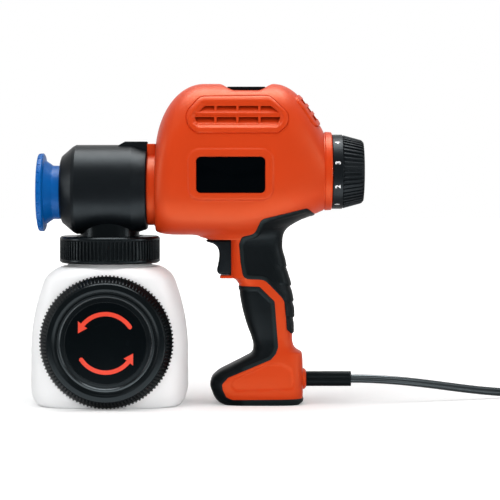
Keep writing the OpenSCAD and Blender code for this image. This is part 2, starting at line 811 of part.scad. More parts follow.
module spring_retainer() {
    color("gray") difference() {
        rod_x(retainer_r, retainer_x, retainer_x + retainer_t, pump_z);
        rod_x(piston_r, retainer_x - 1, retainer_x + retainer_t + 1, pump_z);
    }
}
// A coil spring along X as one tube with flat-sided ends
module spring_x(r, wire, x0, x1, turns, z, sides) {
    rings = turns * 8;
    lead = (x1 - x0 - wire) / turns;
    skin([for (i = [0:rings])
        let (a = 360 * i / 8, x = x0 + wire / 2 + lead * i / 8)
        [for (k = [sides - 1:-1:0])
            let (b = 360 * k / sides, q = r + wire / 2 * cos(b))
            [x + wire / 2 * sin(b), q * sin(a), z + q * cos(a)]]]);
}
module piston_spring() {
    color("silver") spring_x(9, 1.6, cylinder_back_x - 2, retainer_x, 7, pump_z, 6);
}

// Spray tip
module spray_tip() {
    rim_t = 5.5;
    rim_x = pump_front_x - tip_l;
    notches = 24;
    color("dodgerblue") difference() {
        turned_x([
            [0, rim_x + 9], [10, rim_x + 8], [tip_rim_r - 9, rim_x + 2.4], [tip_rim_r - 3, rim_x],
            [tip_rim_r - 0.8, rim_x], [tip_rim_r, rim_x + 0.8], [tip_rim_r, rim_x + rim_t - 1],
            [tip_rim_r - 1, rim_x + rim_t], [tip_neck_r + 4.5, rim_x + rim_t + 0.8],
            [tip_neck_r, rim_x + rim_t + 7.5], [tip_neck_r, pump_front_x - move_gap],
            [socket_r, pump_front_x - move_gap], [socket_r, cylinder_front_x - move_gap],
            [0, cylinder_front_x - move_gap]
        ], pump_z);
        for (i = [0:notches - 1])
            translate([0, 0, pump_z]) rotate([360 / notches * (i + 0.5), 0, 0])
                translate([rim_x - 1, -0.9, tip_rim_r - 0.8]) cube([rim_t - 1.4, 1.8, 5]);
        rod_x(6, rim_x - 1, pump_front_x, pump_z);
        rod_x(9, pump_front_x - 6, cylinder_front_x, pump_z);
    }
}
module tip_insert() {
    color("silver") difference() {
        rod_x(6, pump_front_x - tip_l + 10, pump_front_x - 6, pump_z);
        rod_x(0.8, pump_front_x - tip_l, pump_front_x, pump_z);
        turned_x([
            [0, pump_front_x - tip_l + 12], [4, pump_front_x - tip_l + 9], [0, pump_front_x - tip_l + 9]
        ], pump_z);
    }
}
module atomizer_valve() {
    color("white") difference() {
        rod_x(9, pump_front_x - 6, cylinder_front_x - move_gap, pump_z);
        rod_x(2, pump_front_x - 7, cylinder_front_x, pump_z);
    }
}

// Suction line
module suction_tube() {
    color("whitesmoke") difference() {
        translate([0, 0, filter_floor + filter_h - 4])
            cylinder(r = tube_r, h = pump_z - cylinder_r - filter_floor - filter_h + 4 - 0.7);
        translate([0, 0, filter_floor]) cylinder(r = tube_bore_r, h = pump_z);
    }
}
module intake_filter() {
    slots = 10;
    color("white") difference() {
        translate([0, 0, filter_floor]) rotate_extrude() polygon([
            [0, 0], [filter_r, 0], [filter_r, filter_h - 5], [tube_r + 2.5, filter_h], [0, filter_h]
        ]);
        translate([0, 0, filter_floor + filter_h - 4]) cylinder(r = tube_r, h = 5);
        translate([0, 0, filter_floor + 1.5]) cylinder(r = tube_bore_r, h = filter_h);
        for (i = [0:slots - 1]) rotate(360 / slots * i)
            translate([tube_bore_r + 1, -1, filter_floor + 2]) cube([filter_r, 2, filter_h - 8]);
    }
}

// Container, its ring and its seals
module container_ring() {
    band = 3.4;
    color("dimgray") difference() {
        translate([0, 0, ring_z]) union() {
            translate([0, 0, band]) linear_extrude(ring_h - 2 * band) toothed(ring_r - 0.3, 1.4, ring_ribs);
            rotate_extrude() polygon([
                [0, 0], [ring_r - 1.4, 0], [ring_r, 1.2], [ring_r, band], [ring_r - 1.5, band],
                [ring_r - 1.5, ring_h - band], [ring_r, ring_h - band], [ring_r, ring_h - 1.2],
                [ring_r - 1.4, ring_h], [0, ring_h]
            ]);
        }
        translate([0, 0, ring_z - 1]) cylinder(r = neck_r + thread_gap, h = ring_h - lip_t + 1);
        translate([0, 0, ring_z]) cylinder(r = boss_r_pump + move_gap, h = ring_h + 1);
        translate([0, 0, ring_top - relief_h]) cylinder(r = relief_r, h = relief_h + 1);
    }
}
module container_seal() {
    color("gray") difference() {
        translate([0, 0, neck_top]) cylinder(r = neck_r - 0.2, h = seal_t);
        translate([0, 0, neck_top - 1]) cylinder(r = neck_r - 4, h = seal_t + 2);
    }
}
foot_round = 18;
foot_inset = 9;
shoulder_round = 12.5;
shoulder_drop = 10;
container_power = 3.8;
container_taper = 0.63;
taper_from = 0.38;
function round_fall(t) = 1 - sqrt(1 - pow(clamp01(t), 2));
shoulder_lip = 3;
function foot_fall(z) = foot_inset * round_fall((foot_round - z) / foot_round);
function container_half_w(z) =
    mix(container_w / 2 * (1 - container_taper * pow(max(0, z / container_h - taper_from), 2)),
        neck_r + shoulder_lip, round_fall((z - container_h + shoulder_round) / shoulder_round))
    - foot_fall(z);
function container_half_d(z) =
    mix(container_d / 2, neck_r + shoulder_lip, round_fall((z - container_h + shoulder_drop) / shoulder_drop))
    - 0.45 * foot_fall(z);
function container_ring_at(z, grow, sides, lift) = [for (i = [0:sides - 1])
    let (a = 360 * i / sides, p = 2 / container_power)
    [(container_half_w(z) + grow) * signed_power(cos(a), p),
     (container_half_d(z) + grow) * signed_power(sin(a), p), z + lift]];
function container_heights() = concat(
    [for (a = [0:22.5:67.5]) foot_round * (1 - cos(a))],
    [for (t = [0, 0.33, 0.56, 0.78, 1]) mix(foot_round, container_h - shoulder_round, t)],
    [for (a = [20:17.5:90]) container_h - shoulder_round * (1 - sin(a))]
);
module container() {
    wall = container_wall;
    color("white") difference() {
        union() {
            skin([for (z = container_heights()) container_ring_at(z, 0, 36, 0)]);
            translate([0, 0, container_h - 6]) cylinder(r = neck_r, h = neck_top - container_h + 6);
            rod_y(mouth_r, -mouth_end_y, -container_d / 2 + 8, 0, lid_z);
        }
        skin([for (z = container_heights())
            container_ring_at(z, -wall, 24, mix(wall, -wall, clamp01(z / container_h)))]);
        translate([0, 0, container_h - 12]) cylinder(r = neck_r - wall, h = far);
        rod_y(mouth_r - mouth_wall, -far, -container_d / 2 + 12, 0, lid_z);
    }
}
module lid_seal() {
    color("gray") difference() {
        rod_y(mouth_r, -mouth_end_y - seal_t, -mouth_end_y, 0, lid_z);
        rod_y(mouth_r - mouth_wall, -far, far, 0, lid_z);
    }
}
module side_lid() {
    rim_y = container_d / 2 + 0.8;
    front_r = lid_r - 5.6;
    step_r = lid_r - 12.8;
    bead_r = lid_r - 17.4;
    tooth = 1.1;
    color("dimgray") translate([0, 0, lid_z]) rotate([90, 0, 0]) difference() {
        translate([0, 0, rim_y]) union() {
            intersection() {
                linear_extrude(lid_h)
                    toothed(lid_r + 1, lid_r - front_r + 4, lid_teeth, [0, 0.44, 0.5, 0.94]);
                rotate_extrude() polygon([
                    [0, 0], [lid_r, 0], [lid_r, 2], [front_r, lid_h - 2],
                    [front_r - 3, lid_h - 1], [0, lid_h - 1]
                ]);
            }
            rotate_extrude() polygon([
                [0, 0], [lid_r - tooth, 0], [lid_r - tooth, 2], [front_r - tooth, lid_h - 1.6],
                [front_r - tooth - 0.8, lid_h - 0.5], [step_r + 1, lid_h], [step_r, lid_h - 0.5],
                [step_r - 2, lid_h - 2], [bead_r + 1.6, lid_h - 2], [bead_r + 0.8, lid_h - 0.8],
                [bead_r - 0.8, lid_h - 0.8], [bead_r - 2, lid_h - 2.2], [0, lid_h - 2.2]
            ]);
        }
        translate([0, 0, rim_y - 1]) cylinder(r = mouth_r + thread_gap, h = lid_h - lid_skin + 1);
    }
}

// Electric drive
module core_stack() {
    color("slategray") union() {
        block([core_front_x, core_front_x + core_leg], [-core_half_w, core_half_w],
            [core_low_z, core_high_z + core_leg]);
        for (z = [core_low_z, core_high_z])
            block([core_front_x, pole_x], [-core_half_w, core_half_w], [z, z + core_leg]);
    }
}
module round_leg(grow, x0, x1) {
    block([x0, x1], [-core_half_w - grow, core_half_w + grow],
        [core_low_z - grow, core_low_z + core_leg + grow]);
}
bobbin_x = [core_front_x + core_leg, pole_x - 2];
module coil_bobbin() {
    color("ivory") difference() {
        union() {
            round_leg(bobbin_wall, bobbin_x[0], bobbin_x[1]);
            for (x = [bobbin_x[0], bobbin_x[1] - bobbin_wall])
                round_leg(bobbin_wall + coil_build + 1, x, x + bobbin_wall);
        }
        round_leg(0, bobbin_x[0] - 1, bobbin_x[1] + 1);
    }
}
module coil_winding() {
    color("peru") difference() {
        round_leg(bobbin_wall + coil_build, bobbin_x[0] + bobbin_wall, bobbin_x[1] - bobbin_wall);
        round_leg(bobbin_wall, bobbin_x[0], bobbin_x[1]);
    }
}
module motor_frame() {
    color("lightsteelblue") for (side = [-1, 1])
        difference() {
            translate([0, side > 0 ? core_half_w + frame_t : -core_half_w, 0]) rotate([90, 0, 0])
                linear_extrude(frame_t) polygon([
                    [core_front_x, frame_low_z], [pole_x - 1, frame_low_z], [hinge_x + 7, hinge_z - 8],
                    [hinge_x + 7, hinge_z + 7], [hinge_x - 7, hinge_z + 7],
                    [core_front_x, core_high_z + core_leg]
                ]);
            rod_y(hinge_r, -far, far, hinge_x, hinge_z);
        }
}
module armature_pin() {
    color("silver") rod_y(hinge_r, -core_half_w - frame_t - 1, core_half_w + frame_t + 1, hinge_x, hinge_z);
}
module armature() {
    color("gray") difference() {
        union() {
            block([armature_x, armature_x + armature_t], [-core_half_w + 1, core_half_w - 1],
                [armature_low_z, hinge_z]);
            rod_y(knuckle_r, -core_half_w + move_gap, core_half_w - move_gap, hinge_x, hinge_z);
        }
        rod_y(hinge_r + run_gap, -far, far, hinge_x, hinge_z);
    }
}

// Trigger and switch
module trigger() {
    front = trigger_x;
    low = trigger_bottom_z;
    h = trigger_h;
    color("dimgray") union() {
        side_prism(concat(
            [[front - 21.5, low + h], [front - 20, low + h - 2.2]],
            [for (a = [60:-20:0]) [front - 21 + 11.5 * cos(a), low + h - 14 + 12 * sin(a)]],
            [for (a = [0:20:60]) [front - 11.8 + 2.3 * cos(a), low + h - 14 - 10 * sin(a)]],
            [[front - 11.4, low + 4], [front - 10, low + 1], [front - 7.5, low], [front + 2, low],
             [front + 2, low + h]]
        ), -trigger_w / 2, trigger_w / 2);
        block([front + 2, trigger_back_x], [-trigger_w / 2, trigger_w / 2], [low + 2, low + h - 2]);
    }
}
module trigger_spring() {
    color("silver") spring_x(4, 1, trigger_back_x, switch_x, 3, switch_z[1] - 6, 6);
}
module switch_body() {
    color("darkslategray") difference() {
        block([switch_x, switch_x + switch_l], [-switch_half_w, switch_half_w], switch_z);
        rod_x(plunger_r + run_gap, switch_x - 1, switch_x + 9, switch_z[0] + 6);
    }
}
module switch_plunger() {
    color("gray") rod_x(plunger_r, trigger_back_x, switch_x + 2, switch_z[0] + 6);
}

// Cord, its guard, coil, tie and plug
module guard_outline(x0, x1) {
    translate([x0, 0, guard_z]) rotate([90, 0, 90]) linear_extrude(x1 - x0)
        for (s = [-1, 1]) translate([0, s * guard_spread]) circle(guard_r);
}
module cord_guard() {
    color("dimgray") difference() {
        guard_outline(guard_x0, guard_x1);
        swept_cord([[cord_x0, 0, guard_z], [guard_x1 + 1, 0, guard_z]], cord_play);
    }
}
cord_x0 = guard_x0 + 10;
cord_play = 0.2;
cord_rest_z = cord_w / 2 + 1;
// Route from the guard to the coil: x, y and the height above where the cord rests
cord_route = [
    [230, 0.3, 17], [242, 1.2, 16.4], [254, 3, 15.4], [266, 5.5, 14.1], [278, 8.7, 12.5], [290, 12.5, 10.7],
    [302, 16.7, 8.7], [314, 21, 6.7], [326, 25.2, 4.8], [338, 29, 3.1], [350, 32.3, 1.7], [362, 35, 0.7],
    [374, 36.6, 0.2], [386, 37, 0], [398, 37, 0], [410, 37, 0]
];
cord_points = concat(
    [[cord_x0, 0, guard_z], [guard_x1 - 20, 0, guard_z], [guard_x1, 0, guard_z]],
    [for (p = cord_route) [p[0], p[1], p[2] + cord_rest_z]]
);
coil_start = cord_points[len(cord_points) - 1];

// The coil winds in on the floor, climbs where the spiral turns round, and winds out above
coil_turns = 3;
coil_out_r = 47;
coil_pitch = cord_t + 0.8;
coil_step = 24;
coil_lead = 10;
coil_tail = 30;
layer_rise = cord_w + 0.6;
coil_mid = [coil_start[0] + coil_lead, coil_start[1] - coil_out_r];
coil_in = coil_turns * coil_step;
coil_last = coil_in + coil_step * coil_turns;
function coil_r(i) =
    let (
        half = coil_step / 2,
        least = coil_out_r - coil_pitch * (coil_turns + 0.5),
        second = coil_out_r - coil_pitch * (coil_turns - 1)
    )
    i <= coil_in + half ? coil_out_r - coil_pitch * i / coil_step
    : i <= coil_in + coil_step ? mix(least, second, (i - coil_in - half) / half)
    : second + coil_pitch * (i - coil_in - coil_step) / coil_step;
coil_loops = [for (i = [0:coil_last])
    let (turned = 360 * i / coil_step - 90, climb = clamp01((i - coil_in) / (coil_step / 2)))
    [coil_mid[0] + coil_r(i) * cos(turned), coil_mid[1] - coil_r(i) * sin(turned),
     cord_rest_z + layer_rise * climb]];
plug_x = coil_mid[0] + coil_tail;
plug_y = coil_start[1];
plug_z = cord_rest_z + layer_rise;
coil_points = concat([coil_start], coil_loops, [[plug_x, plug_y, plug_z]]);
// Room left between neighbouring loops, from the points themselves
function lobe_gap(a, b) =
    let (
        flat = norm([a[0] - b[0], a[1] - b[1]]),
        up = max(0, abs(a[2] - b[2]) - (cord_w - cord_t))
    )
    norm([flat, up]) - cord_t;
coil_room = min([
    for (i = [0:coil_last - 13], j = [i + 13:coil_last]) lobe_gap(coil_loops[i], coil_loops[j])
]);
echo(coil_room = coil_room);  // cord_coil

// A flat cord swept along points with its width upright: two lobes that meet at a waist
function cord_outline(play) =
    let (r = cord_t / 2, lobe = (cord_w - cord_t) / 2, waist = r * 0.55)
    concat(
        [[waist + play, 0]],
        [for (a = [0:60:180]) [(r + play) * cos(a), lobe + (r + play) * sin(a)]],
        [[-waist - play, 0]],
        [for (a = [180:60:360]) [(r + play) * cos(a), -lobe + (r + play) * sin(a)]]
    );
function cord_ring(p, dir, play) =
    let (side = [dir[1], -dir[0], 0] / norm([dir[0], dir[1]]))
    [for (q = cord_outline(play)) p - q[0] * side + [0, 0, q[1]]];
function heading(points, i) =
    let (a = points[max(0, i - 1)], b = points[min(len(points) - 1, i + 1)])
    (b - a) / norm(b - a);
module swept_cord(points, play) {
    skin([for (i = [0:len(points) - 1]) cord_ring(points[i], heading(points, i), play)]);
}
module cord() { color("dimgray") swept_cord(cord_points, 0); }
module cord_coil() { color("dimgray") swept_cord(coil_points, 0); }

// A strap round all the loops on the far side of the coil
tie_t = 0.8;
tie_w = 10;
module cord_tie() {
    x0 = coil_mid[0] + coil_r(coil_in + 18) - cord_t / 2 - 3;
    x1 = coil_mid[0] + coil_out_r + cord_t / 2 + 1;
    z0 = cord_rest_z - cord_w / 2 - 0.1;
    z1 = plug_z + cord_w / 2 + 0.2;
    color("black") translate([0, coil_mid[1], 0]) difference() {
        block([x0 - tie_t, x1 + tie_t], [-tie_w / 2, tie_w / 2], [z0 - tie_t, z1 + tie_t]);
        block([x0, x1], [-tie_w, tie_w], [z0, z1]);
    }
}

// A two-blade plug lying on its edge
plug_l = 34;
plug_t = 15;
blade_l = 16;
blade_t = 1.5;
blade_w = 6.3;
blade_gap = 12.7;
module plug_body() {
    half_h = plug_z - 0.1;
    color("dimgray") difference() {
        translate([0, plug_y, 0]) intersection() {
            side_prism([
                [plug_x, plug_z - cord_w], [plug_x + 10, plug_z - half_h + 3],
                [plug_x + plug_l - 6, plug_z - half_h], [plug_x + plug_l, plug_z - half_h],
                [plug_x + plug_l, plug_z + half_h], [plug_x + plug_l - 6, plug_z + half_h],
                [plug_x + 10, plug_z + half_h - 3], [plug_x, plug_z + cord_w]
            ], -plug_t / 2, plug_t / 2);
            translate([0, 0, -1]) linear_extrude(2 * plug_z + 2) polygon([
                [plug_x, -cord_t], [plug_x + 12, -plug_t / 2 + 1], [plug_x + plug_l - 5, -plug_t / 2],
                [plug_x + plug_l, -plug_t / 2], [plug_x + plug_l, plug_t / 2],
                [plug_x + plug_l - 5, plug_t / 2], [plug_x + 12, plug_t / 2 - 1], [plug_x, cord_t]
            ]);
        }
    }
}
module plug_blades() {
    color("silver") for (s = [-1, 1])
        translate([plug_x + plug_l, plug_y - blade_w / 2, plug_z + s * blade_gap / 2 - blade_t / 2])
            cube([blade_l, blade_w, blade_t]);
}

housing_left();
housing_right();
grip_upper_left();
grip_upper_right();
grip_lower_left();
grip_lower_right();
top_pad();
badge_plate();
housing_screws();
front_collar();
rear_collar();
flow_nut();
flow_screw();
control_knob();
pump_housing();
pump_cylinder();
piston();
spring_retainer();
piston_spring();
spray_tip();
tip_insert();
atomizer_valve();
suction_tube();
intake_filter();
container_ring();
container_seal();
container();
lid_seal();
side_lid();
core_stack();
coil_bobbin();
coil_winding();
motor_frame();
armature_pin();
armature();
trigger();
trigger_spring();
switch_body();
switch_plunger();
cord_guard();
cord();
cord_coil();
cord_tie();
plug_body();
plug_blades();
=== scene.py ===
# Looks, light and camera for the hand-held paint sprayer. Lengths are in millimetres until a mesh is made.
import bpy
import json
import math
import numpy as np
from mathutils import Matrix, Vector


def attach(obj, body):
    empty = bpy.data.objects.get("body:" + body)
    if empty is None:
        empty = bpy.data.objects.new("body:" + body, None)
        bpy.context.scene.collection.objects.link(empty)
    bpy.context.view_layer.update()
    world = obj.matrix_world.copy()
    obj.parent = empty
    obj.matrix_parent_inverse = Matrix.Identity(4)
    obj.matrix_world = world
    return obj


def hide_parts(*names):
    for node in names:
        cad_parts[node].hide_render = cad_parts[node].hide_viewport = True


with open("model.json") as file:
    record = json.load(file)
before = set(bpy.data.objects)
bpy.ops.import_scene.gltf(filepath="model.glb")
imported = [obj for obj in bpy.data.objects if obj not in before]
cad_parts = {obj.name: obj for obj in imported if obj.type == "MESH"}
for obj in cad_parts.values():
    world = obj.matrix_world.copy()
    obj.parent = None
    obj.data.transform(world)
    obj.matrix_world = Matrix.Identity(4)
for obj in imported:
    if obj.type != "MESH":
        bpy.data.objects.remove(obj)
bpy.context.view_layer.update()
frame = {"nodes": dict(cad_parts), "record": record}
scene = bpy.context.scene
scene.view_settings.view_transform = "Standard"
bpy.ops.object.select_all(action="DESELECT")
MM = 0.001

# Camera at the photograph's place: its tilt, how far off it stands, and half the picture's height there
TILT, CAMERA_FAR, HALF_VIEW = math.radians(2.5), 1.75, 0.225
VIEW_POINT = Vector((0.126, 0.0, 0.13815))
bpy.ops.object.camera_add(
    location=VIEW_POINT + Vector((0, -math.cos(TILT), math.sin(TILT))) * CAMERA_FAR,
    rotation=(math.radians(90) - TILT, 0, 0))
scene.camera = bpy.context.object
scene.camera.name = "camera"
scene.camera.data.angle = 2 * math.atan(HALF_VIEW / CAMERA_FAR)
scene.camera.data.clip_start = 0.05
scene.camera.data.clip_end = 30

# Main sizes, which follow the solids
PUMP_Z, HEAD_Z, KNOB_Z, LID_Z = 190.0, 192.6, 208.5, 59.1
POD_FRONT, POD_LEVEL, POD_TAIL, POD_BACK = 41.4, 85.0, 147.0, 191.7
POD_TOP, POD_BOTTOM, POD_HALF = 287.0, 152.0, 49.0
NOSE_R, BACK_R, DOME_L, CHEEK_L, TAIL_L = 34.0, 35.2, 43.6, 18.0, 44.7
BACK_Z = KNOB_Z + 0.6
GRIP_X, BASE_H, GRIP_TOP, HANDLE_TOP = 140.0, 46.0, 148.0, 171.5
PAD_PROUD, PAD_T, WALL = 0.5, 1.8, 3.0
# Half the gap between the housing's halves, and a reach past either side of the tool
SEAM, FAR = 0.012, 80.0


# Making and shaping meshes
def link_mesh(name, points, faces, edges=()):
    """A new mesh object from points in millimetres."""
    mesh = bpy.data.meshes.new(name)
    mesh.from_pydata([tuple(p) for p in np.asarray(points, float) * MM], list(edges), faces)
    mesh.update()
    piece = bpy.data.objects.new(name, mesh)
    scene.collection.objects.link(piece)
    return piece


def copy_of(piece, name):
    """A copy with its own mesh."""
    copy = piece.copy()
    copy.data = piece.data.copy()
    copy.name = name
    scene.collection.objects.link(copy)
    return copy


def points_of(piece):
    flat = np.empty(len(piece.data.vertices) * 3)
    piece.data.vertices.foreach_get("co", flat)
    return flat.reshape(-1, 3) / MM


def activate(piece):
    bpy.ops.object.select_all(action="DESELECT")
    bpy.context.view_layer.objects.active = piece
    piece.select_set(True)


def open_edit(piece):
    activate(piece)
    bpy.ops.object.mode_set(mode="EDIT")
    bpy.ops.mesh.select_all(action="SELECT")


def close_edit():
    bpy.ops.object.mode_set(mode="OBJECT")


def tidy(piece, merge=0.000002):
    """Merges doubled points and turns all faces outwards."""
    open_edit(piece)
    bpy.ops.mesh.remove_doubles(threshold=merge)
    bpy.ops.mesh.select_all(action="SELECT")
    bpy.ops.mesh.normals_make_consistent(inside=False)
    close_edit()
    return piece


def smooth(piece, degrees=32):
    activate(piece)
    bpy.ops.object.shade_smooth_by_angle(angle=math.radians(degrees))
    return piece


def apply_modifier(piece, kind, **settings):
    activate(piece)
    mod = piece.modifiers.new(kind.lower(), kind)
    for key, value in settings.items():
        setattr(mod, key, value)
    bpy.ops.object.modifier_apply(modifier=mod.name)
    return piece


def remove(piece):
    bpy.data.objects.remove(piece, do_unlink=True)


def combine(piece, tool, how, keep=False):
    """Joins, cuts or intersects a closed piece with a tool, which is used up unless it is kept."""
    apply_modifier(piece, "BOOLEAN", operation=how, solver="MANIFOLD", object=tool)
    if not keep:
        remove(tool)
    return piece


def add(piece, tool):
    return combine(piece, tool, "UNION")


def cut(piece, tool):
    return combine(piece, tool, "DIFFERENCE")


def bevel_edges(piece, width, segments=3, degrees=35):
    return apply_modifier(piece, "BEVEL", width=width * MM, segments=segments, limit_method="ANGLE",
                          angle_limit=math.radians(degrees), use_clamp_overlap=True)


def join(pieces, name):
    activate(pieces[0])
    for piece in pieces:
        piece.select_set(True)
    bpy.ops.object.join()
    pieces[0].name = name
    pieces[0].data.name = name
    return pieces[0]


def eased(points, steps=5, closed=False):
    """Rounds the corners of an outline: a point with a third number has its corner rounded by that radius."""
    out, n = [], len(points)
    for i, p in enumerate(points):
        q = np.array(p[:2], float)
        r = p[2] if len(p) > 2 else 0
        if not r or (not closed and i in (0, n - 1)):
            out.append(tuple(q))
            continue
        a = np.array(points[i - 1][:2], float) - q
        b = np.array(points[(i + 1) % n][:2], float) - q
        la, lb = np.linalg.norm(a), np.linalg.norm(b)
        a, b = a / la, b / lb
        half = math.acos(max(-1, min(1, float(a @ b)))) / 2
        if abs(half - math.pi / 2) < 0.02:
            # a corner that is almost straight is only evened out
            ease = min(r, 0.4 * la, 0.4 * lb) * 0.2
            out += [tuple(q + (a * (1 - k / steps) + b * (k / steps)) * ease) for k in range(steps + 1)]
            continue
        t = min(r / math.tan(half), 0.48 * la, 0.48 * lb)
        r = t * math.tan(half)
        mid = (a + b) / np.linalg.norm(a + b)
        centre = q + mid * r / math.sin(half)
        s, e = q + a * t - centre, q + b * t - centre
        sweep = math.acos(max(-1, min(1, float(s @ e) / (r * r))))
        for k in range(steps + 1):
            f = k / steps
            v = (s * math.sin((1 - f) * sweep) + e * math.sin(f * sweep)) / math.sin(sweep)
            out.append(tuple(centre + v))
    return out


AXES = {"X": ((1, 0, 0), (0, 0, 1)), "Y": ((0, 1, 0), (0, 0, 1)), "Z": ((0, 0, 1), (1, 0, 0))}


def spun(name, profile, axis, centre, steps=128, closed=False):
    """A turned piece: the profile's (radius, along) points are laid as a row and spun about the axis."""
    along, out = (np.array(v, float) for v in AXES[axis])
    points = [np.array(centre, float) + along * p[1] + out * p[0] for p in profile]
    n = len(points)
    edges = [(i, (i + 1) % n) for i in range(n if closed else n - 1)]
    piece = link_mesh(name, points, [], edges)
    open_edit(piece)
    bpy.ops.mesh.spin(steps=steps, angle=2 * math.pi, center=Vector(centre) * MM, axis=tuple(along))
    close_edit()
    return tidy(piece)


def around(piece, count, axis, centre, name):
    """One modelled piece copied evenly round an axis, each copy with its own mesh, and joined."""
    copies = []
    c = Vector(centre) * MM
    for i in range(count):
        copy = copy_of(piece, name)
        turn = Matrix.Rotation(2 * math.pi * i / count, 4, Vector(AXES[axis][0]))
        copy.data.transform(Matrix.Translation(c) @ turn @ Matrix.Translation(-c))
        copies.append(copy)
    remove(piece)
    return join(copies, name)


def box(name, low, high, bevel=0.0, segments=3):
    """A block between two corners, its edges rounded where a bevel is given."""
    low, high = np.array(low, float), np.array(high, float)
    bpy.ops.object.select_all(action="DESELECT")
    bpy.ops.mesh.primitive_cube_add(size=1, location=tuple((low + high) / 2 * MM))
    piece = bpy.context.object
    piece.name = name
    piece.scale = tuple((high - low) * MM)
    bpy.ops.object.transform_apply(location=True, rotation=True, scale=True)
    return bevel_edges(piece, bevel, segments) if bevel else piece


def placed(piece, place, turn=0.0, axis="Y"):
    """Turns a piece about the origin and moves it to its place."""
    piece.data.transform(Matrix.Translation(Vector(place) * MM) @ Matrix.Rotation(turn, 4, axis))
    return piece


def prism(name, outline, y0, y1):
    """An outline drawn in X and Z, filled and extruded along Y."""
    n = len(outline)
    piece = link_mesh(name, [(p[0], y0, p[1]) for p in outline], [tuple(range(n))])
    open_edit(piece)
    bpy.ops.mesh.extrude_region_move(TRANSFORM_OT_translate={"value": (0, (y1 - y0) * MM, 0)})
    bpy.ops.mesh.select_all(action="SELECT")
    bpy.ops.mesh.normals_make_consistent(inside=False)
    close_edit()
    return piece


def rod(name, axis, centre, radius, a0, a1, steps=48):
    """A plain cylinder between two places along its axis."""
    return spun(name, [(0, a0), (radius, a0), (radius, a1), (0, a1)], axis, centre, steps)


def loft(name, rings):
    """A closed skin over rings of equally many points, capped at both ends."""
    rings = np.asarray(rings, float)
    m, n = rings.shape[:2]
    i, j = np.meshgrid(np.arange(m - 1), np.arange(n), indexing="ij")
    a, b = i * n + j, i * n + (j + 1) % n
    quads = np.stack([a, b, b + n, a + n], -1).reshape(-1, 4).tolist()
    caps = [tuple(range(n - 1, -1, -1)), tuple((m - 1) * n + k for k in range(n))]
    return tidy(link_mesh(name, rings.reshape(-1, 3), quads + caps))


def eased_node(node, width, segments, degrees):
    """A copy of a solid, merged, with its edges rounded off. It stands for that solid."""
    piece = copy_of(frame["nodes"][node], node + "_piece")
    piece.parent = None
    for key in list(piece.keys()):
        del piece[key]
    piece.data.materials.clear()
    open_edit(piece)
    bpy.ops.mesh.customdata_custom_splitnormals_clear()
    bpy.ops.mesh.remove_doubles(threshold=0.000005)
    bpy.ops.mesh.select_all(action="SELECT")
    bpy.ops.mesh.dissolve_limited(angle_limit=math.radians(0.6))
    close_edit()
    return smooth(bevel_edges(piece, width, segments, degrees))


# Curves and distances used by the moulded shapes
def clamp01(t):
    return np.clip(t, 0.0, 1.0)


def quarter(t):
    """Rises from nought to one like a quarter of a circle."""
    return np.sqrt(1 - (1 - clamp01(t)) ** 2)


def mix(a, b, t):
    return a + (b - a) * t


def soft_step(t):
    t = clamp01(t)
    return t * t * (3 - 2 * t)


def even(points, count):
    """The same curve with points at even steps along it."""
    d = np.concatenate([[0], np.cumsum(np.linalg.norm(np.diff(points, axis=0), axis=1))])
    at = np.linspace(0, d[-1], count)
    return np.stack([np.interp(at, d, points[:, k]) for k in range(points.shape[1])], 1)


def flowing(points, cuts=4):
    """A smooth curve through a row of points, with each span cut up evenly."""
    p = np.array(points, float)
    q = np.vstack([2 * p[0] - p[1], p, 2 * p[-1] - p[-2]])
    fine = []
    for a, b, c, d in zip(q, q[1:], q[2:], q[3:]):
        for t in np.linspace(0, 1, cuts, endpoint=False):
            fine.append(0.5 * (2 * b + (c - a) * t + (2 * a - 5 * b + 4 * c - d) * t * t
                               + (3 * b - a - 3 * c + d) * t ** 3))
    return np.array(fine + [p[-1]])


def monotone(x, y, at):
    """A smooth curve through rows that never swings past them."""
    x, y = np.asarray(x, float), np.asarray(y, float)
    h, d = np.diff(x), np.diff(y) / np.diff(x)
    m = np.zeros(len(x))
    m[0], m[-1] = d[0], d[-1]
    for k in range(1, len(x) - 1):
        if d[k - 1] * d[k] > 0:
            w1, w2 = 2 * h[k] + h[k - 1], h[k] + 2 * h[k - 1]
            m[k] = (w1 + w2) / (w1 / d[k - 1] + w2 / d[k])
    k = np.clip(np.searchsorted(x, at, side="right") - 1, 0, len(x) - 2)
    t = (at - x[k]) / h[k]
    return ((1 + 2 * t) * (1 - t) ** 2 * y[k] + t * (1 - t) ** 2 * h[k] * m[k]
            + t * t * (3 - 2 * t) * y[k + 1] + t * t * (t - 1) * h[k] * m[k + 1])


def outside_outline(px, pz, outline):
    """Distance outside any closed outline, negative inside."""
    p = np.stack([px.ravel(), pz.ravel()], 1)
    best = np.full(len(p), 1e9)
    inside = np.zeros(len(p), bool)
    pts = np.asarray(outline, float)
    for a, b in zip(pts, np.roll(pts, -1, 0)):
        ab = b - a
        t = clamp01(((p - a) @ ab) / max(1e-9, ab @ ab))
        best = np.minimum(best, np.linalg.norm(p - a - t[:, None] * ab, axis=1))
        crosses = (a[1] > p[:, 1]) != (b[1] > p[:, 1])
        if abs(ab[1]) > 1e-9:
            inside ^= crosses & (p[:, 0] < a[0] + (p[:, 1] - a[1]) * ab[0] / ab[1])
    return np.where(inside, -best, best).reshape(px.shape)


def grid_normals(g):
    """Outward normals of a grid of points whose rows are closed rings."""
    du = np.gradient(g, axis=0)
    dv = np.roll(g, -1, 1) - np.roll(g, 1, 1)
    n = np.cross(du, dv)
    n /= np.maximum(np.linalg.norm(n, axis=2, keepdims=True), 1e-9)
    out = g - g.mean(axis=1, keepdims=True)
    return n * np.sign((n * out).sum(axis=(0, 1, 2)))


